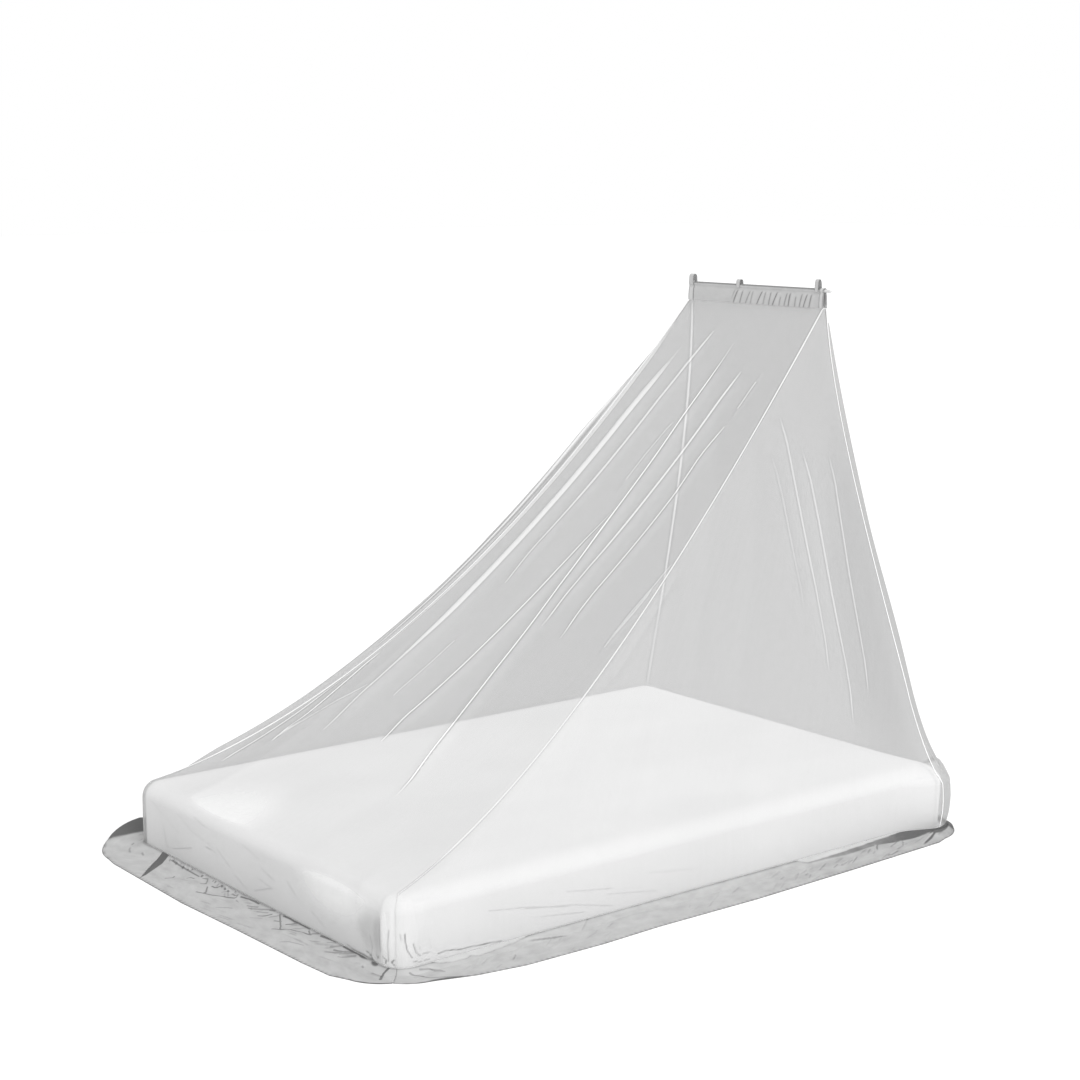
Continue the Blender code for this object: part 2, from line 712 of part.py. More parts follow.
def make_skirts(finish, collection):
    """The woven skirt: four strips from the net's hem out over the floor."""
    along_table = [row[0] for row in SKIRT_WIDTHS]
    width_table = [row[1] for row in SKIRT_WIDTHS]
    for name, start, end, gape_start, gape_end in SKIRTS:
        columns = []
        for station in skirt_stations(start, end):
            rows = []
            for share_out, share_up in SKIRT_SECTION:
                gape = math.sin(math.pi * share_out**0.7)
                first = start + SKIRT_JOINT / 2 + gape_start * gape
                last = end - SKIRT_JOINT / 2 - gape_end * gape
                distance = min(max(station, first), last)
                distance += slit_slide(distance, share_out)
                core, facing = outline(distance)
                width = np.interp(distance, along_table, width_table)
                rise = skirt_height(distance, share_out)
                inner = NET_CLEARANCE + stand_off(distance, LAST_ROW_T)
                reach = inner + share_out * (width - inner) - LIFT_DRAW * rise
                height = SKIRT_REST + share_up * (SKIRT_TOP - SKIRT_REST) + rise
                point = core + facing * (BED_CORNER + reach)
                rows.append((point.x, point.y, height))
            columns.append(rows)
        add_sheet(name, np.array(columns), SKIRT_THICKNESS, finish, collection)


# ================================================================ mattress
def bevel_edges(bm, edges, radius, steps):
    """Round some edges of a bmesh."""
    bmesh.ops.bevel(
        bm,
        geom=edges,
        offset=radius,
        offset_type="OFFSET",
        segments=steps,
        profile=0.5,
        affect="EDGES",
        material=-1,
    )


def rim_edges(bm, height):
    """Edges whose two ends lie at a height."""
    return [e for e in bm.edges if all(abs(v.co.z - height) < 1e-5 for v in e.verts)]


def make_mattress(finish, collection):
    """A block with rounded upright corners and a soft top edge."""
    bm = bmesh.new()
    bmesh.ops.create_cube(bm, size=1.0)
    size = Matrix.Diagonal((BED_WIDTH, BED_LENGTH, BED_HEIGHT, 1.0))
    lift = Matrix.Translation((0.0, 0.0, BED_HEIGHT / 2))
    bmesh.ops.transform(bm, matrix=lift @ size, verts=bm.verts)
    upright = [e for e in bm.edges if abs(e.verts[0].co.z - e.verts[1].co.z) > 0.1]
    bevel_edges(bm, upright, BED_CORNER, CORNER_STEPS)
    bevel_edges(bm, rim_edges(bm, BED_HEIGHT), BED_EDGE, EDGE_STEPS)
    bevel_edges(bm, rim_edges(bm, 0.0), BED_FOOT_EDGE, 2)
    mesh = bpy.data.meshes.new("mattress")
    bm.to_mesh(mesh)
    bm.free()
    mesh.shade_smooth()
    mesh.set_sharp_from_angle(angle=math.radians(40))
    add_object("mattress", mesh, finish, collection)


def main():
    """Build every piece."""
    clear_scene()
    canopy = new_collection("mosquito_net_canopy")
    net = material("fine_net", (0.78, 0.78, 0.78), 0.85, alpha=0.55)
    tape = material("seam_tape", (0.86, 0.86, 0.86), 0.80)
    band = material("header_cloth", (0.52, 0.52, 0.52), 0.80)
    woven = material("skirt_cloth", (0.47, 0.47, 0.47), 0.75)
    cover = material("mattress_cover", (0.86, 0.86, 0.86), 0.90)
    plastic = material("white_plastic", (0.90, 0.90, 0.90), 0.35)
    make_mattress(cover, canopy)
    make_panels(net, canopy)
    make_seams(tape, canopy)
    make_sleeve(band, canopy)
    make_end_bindings(band, canopy)
    make_tabs(band, canopy)
    make_rod(plastic, canopy)
    make_skirts(woven, canopy)


main()
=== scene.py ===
"""Looks of a mosquito net canopy hung over a mattress on the floor.

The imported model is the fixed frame: every cloth piece here follows the same named
sizes as its solid, with more points, so that its folds, gathers and hems show.
Units are metres, +Z is up, +Y is the head end and +X the right-hand long side. A pair
of numbers that is passed on to rising or fading says where a step starts or ends and
the length that it takes.
"""

import logging
import math
import random
from dataclasses import dataclass, field
from enum import Enum

import bmesh
import bpy
import numpy as np
from bpy.types import Material, Node, NodeSocket, Object
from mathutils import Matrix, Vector


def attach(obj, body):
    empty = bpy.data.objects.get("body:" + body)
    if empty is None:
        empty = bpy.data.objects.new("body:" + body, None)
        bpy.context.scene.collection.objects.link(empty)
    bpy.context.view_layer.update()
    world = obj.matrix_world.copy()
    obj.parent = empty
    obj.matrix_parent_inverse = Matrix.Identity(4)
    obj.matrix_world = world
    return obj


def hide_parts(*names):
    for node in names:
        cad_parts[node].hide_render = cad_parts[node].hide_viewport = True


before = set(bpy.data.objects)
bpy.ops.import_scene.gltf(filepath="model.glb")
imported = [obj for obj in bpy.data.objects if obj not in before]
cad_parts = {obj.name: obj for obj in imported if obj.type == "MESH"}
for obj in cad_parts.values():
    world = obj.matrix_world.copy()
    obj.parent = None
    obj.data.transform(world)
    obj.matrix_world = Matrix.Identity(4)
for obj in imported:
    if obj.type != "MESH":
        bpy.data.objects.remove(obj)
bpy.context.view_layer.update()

logging.basicConfig(level=logging.INFO, format="%(message)s")
LOG = logging.getLogger("canopy")

Array = np.ndarray
Pair = tuple[float, float]
Triple = tuple[float, float, float]
Run = tuple[Pair, ...]
Colour = Triple
Paint = Colour | NodeSocket

FAR = 1.0  # metres off a line that count as nowhere near it
SAME = 1e-5  # metres within which two places are one


def grey(level: float) -> Colour:
    """A neutral colour."""
    return (level, level, level)


# ================================================================ shader maths
class Value:
    """A number that changes over a surface; sums on it add Math nodes."""

    def __init__(self, shader: "Shader", socket: NodeSocket) -> None:
        """Wrap one output socket of a shader's node."""
        self.shader = shader
        self.socket = socket

    def _sum(self, operation: str, *terms: "Value | float") -> "Value":
        """Add one Math node.

        Args:
            operation: The Math node's operation.
            terms: Its inputs, in order.

        Returns:
            The node's result.
        """
        node = self.shader.node("ShaderNodeMath", {"operation": operation}, dict(enumerate(terms)))
        return Value(self.shader, node.outputs[0])

    def __add__(self, other: "Value | float") -> "Value":
        """Sum."""
        return self._sum("ADD", self, other)

    __radd__ = __add__

    def __sub__(self, other: "Value | float") -> "Value":
        """Difference."""
        return self._sum("SUBTRACT", self, other)

    def __rsub__(self, other: "Value | float") -> "Value":
        """Difference, the other way round."""
        return self._sum("SUBTRACT", other, self)

    def __mul__(self, other: "Value | float") -> "Value":
        """Product."""
        return self._sum("MULTIPLY", self, other)

    __rmul__ = __mul__

    def __abs__(self) -> "Value":
        """Size without its sign."""
        return self._sum("ABSOLUTE", self)

    def cosine(self) -> "Value":
        """Cosine of an angle in radians."""
        return self._sum("COSINE", self)

    def highest(self, other: "Value | float") -> "Value":
        """The larger of two values."""
        return self._sum("MAXIMUM", self, other)

    def lowest(self, other: "Value | float") -> "Value":
        """The smaller of two values."""
        return self._sum("MINIMUM", self, other)

    def step(self, start: float, end: float) -> "Value":
        """A soft step.

        Args:
            start: Value at which it begins.
            end: Value at which it is whole; it may lie under start.

        Returns:
            0 up to start and 1 from end on, smooth between.
        """
        node = self.shader.node(
            "ShaderNodeMapRange",
            {"interpolation_type": "SMOOTHSTEP"},
            {"Value": self, "From Min": start, "From Max": end},
        )
        return Value(self.shader, node.outputs["Result"])


class Shader:
    """One material: a Principled surface and the nodes that feed it."""

    def __init__(self, name: str) -> None:
        """Start a material with nothing but its surface and output."""
        self.material = bpy.data.materials.new(name)
        self.material.use_nodes = True
        self.tree = self.material.node_tree
        self.tree.nodes.clear()
        self.surface = self.node("ShaderNodeBsdfPrincipled")
        self.node("ShaderNodeOutputMaterial", {}, {"Surface": self.surface.outputs[0]})

    def node(
        self,
        kind: str,
        settings: dict[str, object] | None = None,
        inputs: dict[object, object] | None = None,
    ) -> Node:
        """Add any node.

        Args:
            kind: Its type.
            settings: Its own properties, set before its sockets.
            inputs: Values or links by the socket's name or number.

        Returns:
            The node.
        """
        node = self.tree.nodes.new(kind)
        for key, setting in (settings or {}).items():
            setattr(node, key, setting)
        for key, given in (inputs or {}).items():
            if isinstance(given, Value):
                given = given.socket
            if isinstance(given, NodeSocket):
                self.tree.links.new(given, node.inputs[key])
            else:
                node.inputs[key].default_value = given
        return node

    def constants(self, **values: float) -> None:
        """Set plain numbers on the surface, with _ for the spaces of a socket's name."""
        for key, number in values.items():
            self.surface.inputs[key.replace("_", " ")].default_value = number

    def feed(self, socket: str, source: "Value | NodeSocket") -> None:
        """Link a socket of the surface."""
        given = source.socket if isinstance(source, Value) else source
        self.tree.links.new(given, self.surface.inputs[socket])

    def attribute(self, name: str) -> Value:
        """A number kept on the mesh's points."""
        node = self.node("ShaderNodeAttribute", {"attribute_name": name})
        return Value(self, node.outputs["Fac"])

    def place(self, source: str, scale: Triple) -> NodeSocket:
        """Texture coordinates.

        Args:
            source: "UV" for the cloth's own metres or "Object" for the object's frame.
            scale: Repeats to the metre along each axis.

        Returns:
            The scaled vector.
        """
        coordinates = self.node("ShaderNodeTexCoord").outputs[source]
        node = self.node(
            "ShaderNodeVectorMath", {"operation": "MULTIPLY"}, {0: coordinates, 1: scale}
        )
        return node.outputs[0]

    def axes(self, vector: NodeSocket) -> tuple[Value, Value, Value]:
        """The three parts of a vector."""
        node = self.node("ShaderNodeSeparateXYZ", {}, {0: vector})
        return tuple(Value(self, output) for output in node.outputs)

    def noise(self, vector: NodeSocket, detail: float = 2.0) -> Value:
        """Soft noise from 0 to 1 with one cell to each unit of the vector."""
        inputs = {"Vector": vector, "Scale": 1.0, "Detail": detail}
        node = self.node("ShaderNodeTexNoise", {}, inputs)
        return Value(self, node.outputs["Fac"])

    def blend(self, factor: Value, first: Paint, second: Paint) -> NodeSocket:
        """Mix two colours.

        Args:
            factor: 0 for the first colour, 1 for the second.
            first: A colour or a link.
            second: A colour or a link.

        Returns:
            The mixed colour.
        """
        sides = [(*c, 1.0) if isinstance(c, tuple) else c for c in (first, second)]
        node = self.node(
            "ShaderNodeMix", {"data_type": "RGBA"}, {0: factor, 6: sides[0], 7: sides[1]}
        )
        return node.outputs[2]

    def bump(self, height: Value, distance: float, strength: float = 1.0) -> None:
        """Feed the surface's normal.

        Args:
            height: Relief from 0 to 1.
            distance: Metres that a height of 1 stands.
            strength: Share of the effect.
        """
        node = self.node(
            "ShaderNodeBump", {}, {"Height": height, "Distance": distance, "Strength": strength}
        )
        self.feed("Normal", node.outputs[0])


# ================================================================ finishes
@dataclass(frozen=True)
class FineNet:
    """Finely knitted net: see-through, with denser lines where it is pleated.

    Its pleats' crests are painted pale as a highlight, with painted shade beside them and
    along its grooves. A reach is the metres off a line at which it ends and at which it is
    whole, and a cover is the share of opacity that a thing adds.
    """

    thread: Colour = grey(0.363)
    # painted highlight along the crests of pleats
    pleat_highlight: Colour = grey(0.92)
    shade: Colour = grey(0.20)
    pitch: float = 0.0016
    row_lean: Pair = (0.5, 0.866)
    thread_steps: Pair = (-0.2, 0.9)
    streak_repeats: Triple = (46.0, 1.6, 1.0)
    cloud_repeats: Triple = (3.0, 2.2, 1.0)
    cover: float = 0.64
    mesh_cover: float = 0.16
    cloud_cover: float = 0.05
    line_reach: Pair = (0.00368, 0.00138)
    line_cover: float = 0.37
    edge_at: float = 0.0060
    edge_reach: Pair = (0.0034, 0.0)
    edge_gain: float = 1.7
    edge_shade: float = 0.9
    edge_cover: float = 0.18
    groove_reach: Pair = (0.0034, 0.0008)
    groove_gain: float = 1.4
    groove_cover: float = 0.36

    def make(self) -> Material:
        """Make the material.

        Returns:
            The material.
        """
        shader = Shader("fine_net")
        turns = 2 * math.pi / self.pitch
        across, down, _unused = shader.axes(shader.place("UV", (turns, turns, 0.0)))
        leaning = across * self.row_lean[0] + down * self.row_lean[1]
        threads = across.cosine().highest(leaning.cosine()).step(*self.thread_steps)
        streaks = shader.noise(shader.place("UV", self.streak_repeats), 3.0)
        clouds = shader.noise(shader.place("UV", self.cloud_repeats), 2.0)
        offset = shader.attribute("pleat_highlight_offset")
        strength = shader.attribute("pleat_highlight_strength")
        # groove: denser net, painted dark as shade along fine creases
        groove = abs(shader.attribute("groove_offset")).step(*self.groove_reach)
        groove = (groove * shader.attribute("groove_strength") * self.groove_gain).lowest(1.0)
        # crest: denser net, painted pale along each pleat's crest as a highlight
        crest = abs(offset).step(*self.line_reach) * strength
        edge = (strength * self.edge_gain).lowest(1.0)
        # beside: denser net, with painted shade on each side of the crest
        beside = abs(abs(offset) - self.edge_at).step(*self.edge_reach) * edge
        alpha = (
            (threads - 0.5) * self.mesh_cover
            + (streaks - 0.5) * self.cloud_cover
            + (clouds - 0.5) * self.cloud_cover
            + crest * self.line_cover
            + beside * self.edge_cover
            + groove * self.groove_cover
            + shader.attribute("doubling_and_highlight")
            + self.cover
        )
        colour = shader.blend(beside * self.edge_shade, self.thread, self.shade)
        colour = shader.blend(groove, colour, self.shade)
        shader.feed("Base Color", shader.blend(crest, colour, self.pleat_highlight))
        shader.feed("Alpha", alpha.lowest(1.0))
        shader.bump(threads, 0.0003, 0.3)
        shader.constants(Roughness=0.85, Specular_IOR_Level=0.15)
        return shader.material


@dataclass(frozen=True)
class WovenCloth:
    """Plain-woven cloth with creases; its dark tone paints shade in creases, gathers and under lifted
    cloth and darkens edges and stitching, and its light tone paints highlights beside creases and paler
    hems and tapes.
    """

    name: str
    thread: Colour
    deep: Colour
    pale: Colour
    pitch: float = 0.0007
    mottle: float = 0.6
    mottle_repeats: Triple = (20.0, 30.0, 1.0)
    crumple_repeats: Triple = (70.0, 95.0, 1.0)
    dark_steps: Pair = (-0.35, 1.0)
    line_reach: Pair = (0.0034, 0.0012)
    roughness: float = 0.72
    roughness_swing: float = 0.2
    weave_share: float = 0.1
    crumple_share: float = 0.6

    def make(self) -> Material:
        """Make the material.

        Returns:
            The material.
        """
        shader = Shader(self.name)
        turns = 2 * math.pi / self.pitch
        across, down, _unused = shader.axes(shader.place("UV", (turns, turns, 0.0)))
        weave = across.cosine() * down.cosine() * 0.5 + 0.5
        mottle = shader.noise(shader.place("UV", self.mottle_repeats), 4.0)
        crumple = shader.noise(shader.place("UV", self.crumple_repeats), 3.0)
        # dark: painted shade in creases, gathers and under lifted cloth, and darker edges and stitching
        dark = shader.attribute("dark") + (mottle - 0.5) * self.mottle
        colour = shader.blend(dark.step(*self.dark_steps), self.thread, self.deep)
        # light: painted highlights beside creases, and paler hems and tapes
        colour = shader.blend(shader.attribute("light"), colour, self.pale)
        # line: thin crease lines painted dark as shade
        line = abs(shader.attribute("line_offset")).step(*self.line_reach)
        line = line * shader.attribute("line_strength")
        shader.feed("Base Color", shader.blend(line, colour, self.deep))
        shader.feed("Roughness", (mottle - 0.5) * self.roughness_swing + self.roughness)
        shader.bump(weave * self.weave_share + crumple * self.crumple_share + mottle, 0.0022, 0.4)
        shader.constants(Specular_IOR_Level=0.25)
        return shader.material


@dataclass(frozen=True)
class CottonCover:
    """White cotton stretched over the mattress."""

    thread: Colour = grey(0.92)
    hollow: Colour = grey(0.86)
    pitch: float = 0.0006
    cloud_repeats: Triple = (3.2, 1.9, 3.0)
    cloud_steps: Pair = (0.35, 0.75)
    crumple_repeats: Triple = (26.0, 11.0, 20.0)
    weave_share: float = 0.08

    def make(self) -> Material:
        """Make the material.

        Returns:
            The material.
        """
        shader = Shader("mattress_cover")
        turns = 2 * math.pi / self.pitch
        across, along, _up = shader.axes(shader.place("Object", (turns, turns, turns)))
        weave = across.cosine() * along.cosine() * 0.5 + 0.5
        clouds = shader.noise(shader.place("Object", self.cloud_repeats), 2.0)
        crumple = shader.noise(shader.place("Object", self.crumple_repeats), 4.0)
        hollows = clouds.step(*self.cloud_steps)
        shader.feed("Base Color", shader.blend(hollows, self.thread, self.hollow))
        shader.bump(weave * self.weave_share + crumple, 0.004, 0.35)
        shader.constants(Roughness=0.9, Specular_IOR_Level=0.2)
        return shader.material


@dataclass(frozen=True)
class MouldedPlastic:
    """White plastic with a faint moulded grain."""

    colour: Colour = grey(0.56)
    worn: Colour = grey(0.50)
    grain_repeats: Triple = (420.0, 1600.0, 1600.0)
    wear_repeats: Triple = (35.0, 120.0, 120.0)
    wear_steps: Pair = (0.45, 0.8)
    roughness: float = 0.26
    roughness_swing: float = 0.18

    def make(self) -> Material:
        """Make the material.

        Returns:
            The material.
        """
        shader = Shader("white_plastic")
        grain = shader.noise(shader.place("Object", self.grain_repeats), 3.0)
        wear = shader.noise(shader.place("Object", self.wear_repeats), 2.0)
        worn = wear.step(*self.wear_steps)
        shader.feed("Base Color", shader.blend(worn, self.colour, self.worn))
        shader.feed("Roughness", grain * self.roughness_swing + self.roughness)
        shader.bump(grain, 0.0002, 0.3)
        return shader.material


@dataclass(frozen=True)
class StudioWhite:
    """The pale floor."""

    level: float = 0.80

    def make(self) -> Material:
        """Make the material.

        Returns:
            The material.
        """
        shader = Shader("studio_floor")
        shader.constants(Roughness=0.9, Specular_IOR_Level=0.0)
        shader.surface.inputs["Base Color"].default_value = (*grey(self.level), 1.0)
        return shader.material


# ================================================================ meshes
def add_piece(name: str, mesh: bpy.types.Mesh, finish: Material) -> Object:
    """Put a mesh in the scene.

    Args:
        name: The object's name.
        mesh: The mesh, with its place in it.
        finish: Its material.

    Returns:
        The object, at the origin.
    """
    mesh.materials.append(finish)
    piece = bpy.data.objects.new(name, mesh)
    bpy.context.scene.collection.objects.link(piece)
    return piece


def finished(name: str, bm: bmesh.types.BMesh) -> bpy.types.Mesh:
    """Turn a bmesh into a mesh and free it."""
    mesh = bpy.data.meshes.new(name)
    bm.to_mesh(mesh)
    bm.free()
    return mesh


# ================================================================ cloth grids
class Facing(Enum):
    """Which way round a grid of cloth shows its outer face."""

    DOWN_BY_ACROSS = -1
    ACROSS_BY_DOWN = 1


@dataclass
class ClothGrid:
    """A sheet of cloth as a grid of points, with its own metres and tones."""

    name: str
    points: Array
    facing: Facing = Facing.DOWN_BY_ACROSS
    tones: dict[str, Array] = field(default_factory=dict)

    def metres(self) -> Array:
        """The cloth's own coordinates.

        Returns:
            For each point its distance across from the middle and down from the top.
        """
        across = np.linalg.norm(np.diff(self.points, axis=0), axis=2)
        down = np.linalg.norm(np.diff(self.points, axis=1), axis=2)
        u = np.zeros(self.points.shape[:2])
        v = np.zeros(self.points.shape[:2])
        u[1:] = np.cumsum(across, axis=0)
        v[:, 1:] = np.cumsum(down, axis=1)
        u -= u[-1:] / 2
        return np.stack((u, v), axis=2)

    def build(self, finish: Material) -> Object:
        """Make the mesh.

        Args:
            finish: Its material.

        Returns:
            The object, at the origin.
        """
        columns, rows = (count - 1 for count in self.points.shape[:2])
        bm = bmesh.new()
        bmesh.ops.create_grid(bm, x_segments=columns, y_segments=rows, size=1.0)
        mesh = finished(self.name, bm)
        flat = np.empty(len(mesh.vertices) * 3, np.float32)
        mesh.vertices.foreach_get("co", flat)
        place = flat.reshape(-1, 3)
        column = np.rint((1 + self.facing.value * place[:, 0]) / 2 * columns).astype(int)
        row = np.rint((1 + place[:, 1]) / 2 * rows).astype(int)
        mesh.vertices.foreach_set("co", self.points[column, row].astype(np.float32).ravel())
        corner = np.empty(len(mesh.loops), np.int32)
        mesh.loops.foreach_get("vertex_index", corner)
        layer = mesh.uv_layers.new(name="cloth")
        metres = self.metres()[column, row][corner]
        layer.data.foreach_set("uv", metres.astype(np.float32).ravel())
        for key, tone in self.tones.items():
            attribute = mesh.attributes.new(key, "FLOAT", "POINT")
            attribute.data.foreach_set("value", tone[column, row].astype(np.float32))
        mesh.shade_smooth()
        return add_piece(self.name, mesh, finish)


def thicken(piece: Object, thickness: float) -> None:
    """Give a sheet its thickness, half on each side of its surface.

    Args:
        piece: The sheet.
        thickness: Its thickness in metres.
    """
    wall = piece.modifiers.new("wall", "SOLIDIFY")
    wall.thickness = thickness
    wall.offset = 0.0


def smooth(value: Array | float) -> Array:
    """0 to 1 with level ends, clamped."""
    value = np.clip(value, 0.0, 1.0)
    return value * value * (3 - 2 * value)


def from_run(along: Array, across: Array, run: Run) -> Array:
    """How far each place lies from a run of straight pieces.

    Args:
        along: First coordinate of each place, in metres.
        across: Second coordinate.
        run: The run's points.

    Returns:
        The distances in metres.
    """
    nearest = np.full(np.broadcast(along, across).shape, FAR)
    for (x, y), (end_x, end_y) in zip(run, run[1:]):
        step_x, step_y = end_x - x, end_y - y
        share = ((along - x) * step_x + (across - y) * step_y) / (step_x**2 + step_y**2)
        share = np.clip(share, 0.0, 1.0)
        apart = np.hypot(along - x - share * step_x, across - y - share * step_y)
        nearest = np.minimum(nearest, apart)
    return nearest


def along_table(place: Array | float, table: Run, column: int = 1) -> Array:
    """Read a table between its rows.

    Args:
        place: Where to read it, in its first column's terms.
        table: Its rows.
        column: Which of their numbers is read.

    Returns:
        The numbers there.
    """
    rows = np.array(table)
    return np.interp(place, rows[:, 0], rows[:, column])


def outward(points: Array) -> Array:
    """Unit normals of a grid of points.

    Args:
        points: The grid, across by down.

    Returns:
        The normals, on the side that down crossed with across faces.
    """
    normals = np.cross(np.gradient(points, axis=1), np.gradient(points, axis=0))
    lengths = np.linalg.norm(normals, axis=2, keepdims=True)
    return normals / np.maximum(lengths, 1e-12)


def fading(value: Array, end: Array | float, over: float) -> Array:
    """Whole until a length short of an end, nothing from it on."""
    return smooth((end - value) / over)


def rising(value: Array, start: Array | float, over: float) -> Array:
    """Nothing up to a start, whole from a length past it on."""
    return smooth((value - start) / over)


def shell(x: Array, section: Array, middle: float) -> Array:
    """Points of a strip that is folded over the rod.

    Args:
        x: Its columns' places along the rod.
        section: (y off the middle, z) of its rows.
        middle: The rod's y.

    Returns:
        The points, across by down.
    """
    y, z = section[:, 0][None, :], section[:, 1][None, :]
    return np.stack((x + 0 * y, middle + y + 0 * x, z + 0 * x), axis=2)


# ================================================================ bed outline
RIGHT, HEAD, LEFT, FOOT = range(4)
CORNERS = ((1, -1), (1, 1), (-1, 1), (-1, -1))


@dataclass(frozen=True)
class Bed:
    """The mattress's sizes, and the outline that net and skirt follow."""

    width: float = 1.35
    length: float = 2.00
    height: float = 0.20
    corner: float = 0.06
    edge: float = 0.045
    foot_edge: float = 0.012

    @property
    def core(self) -> Pair:
        """Half sizes of the rectangle between the centres of the corners."""
        return self.width / 2 - self.corner, self.length / 2 - self.corner

    @property
    def half_arc(self) -> float:
        """Length of half a corner."""
        return math.pi / 4 * self.corner

    def legs(self) -> tuple[float, float, float, float]:
        """Measure the four sides.

        Returns:
            Their lengths, from middle to middle of the corners.
        """
        long_leg = 2 * self.core[1] + 2 * self.half_arc
        short_leg = 2 * self.core[0] + 2 * self.half_arc
        return long_leg, short_leg, long_leg, short_leg

    def leg_start(self, leg: int) -> float:
        """Distance along the outline at which a side starts."""
        return sum(self.legs()[:leg])

    def outline(self, distance: float) -> tuple[Vector, Vector]:
        """A place on the outline.

        Args:
            distance: From the middle of the foot-right corner, up the right side.

        Returns:
            The core point and the direction outwards.
        """
        leg = 0
        legs = self.legs()
        while leg < FOOT and distance > legs[leg]:
            distance -= legs[leg]
            leg += 1
        core_x, core_y = self.core
        start_x, start_y = CORNERS[leg]
        end_x, end_y = CORNERS[(leg + 1) % 4]
        start = Vector((start_x * core_x, start_y * core_y, 0.0))
        end = Vector((end_x * core_x, end_y * core_y, 0.0))
        straight = legs[leg] - 2 * self.half_arc
        along = distance - self.half_arc
        share = min(max(along / straight, 0.0), 1.0)
        angle = leg * math.pi / 2 + (along - share * straight) / self.corner
        return start.lerp(end, share), Vector((math.cos(angle), math.sin(angle), 0.0))

    def over_edge(self, core: Vector, facing: Vector, angle: float, clearance: float) -> Vector:
        """A point over the soft edge.

        Args:
            core: The outline's core point.
            facing: The direction outwards.
            angle: 0 over the edge's top, a quarter turn at its side.
            clearance: Metres off the mattress.

        Returns:
            The point.
        """
        reach = self.corner - self.edge + (self.edge + clearance) * math.sin(angle)
        height = self.height - self.edge + (self.edge + clearance) * math.cos(angle)
        return core + facing * reach + Vector((0.0, 0.0, height))


BED = Bed()


# ================================================================ the tent
@dataclass(frozen=True)
class Sag:
    """How far a bound seam's middle lies off its straight line, and how it leans."""

    out: float
    along: float
    up: float
    skew: float


@dataclass(frozen=True)
class Fold:
    """One fold down a panel: shares across at shares down, its size and its pressed line, painted as a
    highlight on its crest with painted shade beside it.
    """

    run: Run
    height: float
    half_width: float
    line: float = 0.0
    band: float = 0.0


@dataclass(frozen=True)
class Groove:
    """A fine crease in the net, denser and painted dark as shade: shares across and down of its points,
    its strength.
    """

    run: Run
    strength: float


@dataclass(frozen=True)
class Doubled:
    """A patch where the net is gathered or lies double, by shares across and down; a negative cover
    thins it instead, as a painted highlight.
    """

    middle: Pair
    half_size: Pair
    cover: float


@dataclass(frozen=True)
class Panel:
    """One net panel: its side of the bed, how it bellies, its cut and its folds."""

    name: str
    leg: int
    belly: Triple
    fullness: int
    flat: Pair
    area: float
    folds: tuple[Fold, ...]
    doubling_and_highlight: tuple[Doubled, ...] = ()
    grooves: tuple[Groove, ...] = ()


@dataclass(frozen=True)
class StandOff:
    """A place where the net hangs clear of the mattress's side."""

    leg: int
    after: float
    half_length: float
    out: float


STAND_OFFS = (
    # side, metres after its start, half length, metres out
    StandOff(HEAD, 0.015, 0.190, 0.066),
    StandOff(FOOT, 0.010, 0.120, 0.006),
)
STAND_OFF_SHARES = (
    # level down the panel, share of the stand-off
    (0.86, 0.00), (0.89, 0.04), (0.92, 0.12), (0.94, 0.20), (0.96, 0.30), (0.98, 0.44),
    (1.00, 0.60), (1.10, 0.72), (1.20, 0.82), (1.33, 0.93), (1.36, 0.97), (1.40, 1.00),
    (1.44, 0.97), (1.47, 0.91), (1.50, 0.82),
)

SAGS = (
    # out, along, up, skew, for the seams at foot right, head right, head left, foot left
    Sag(0.010, -0.091, -0.243, 0.03),
    Sag(-0.064, 0.000, 0.064, -0.50),
    Sag(-0.050, -0.009, 0.026, -0.44),
    Sag(-0.028, -0.068, -0.250, -0.06),
)

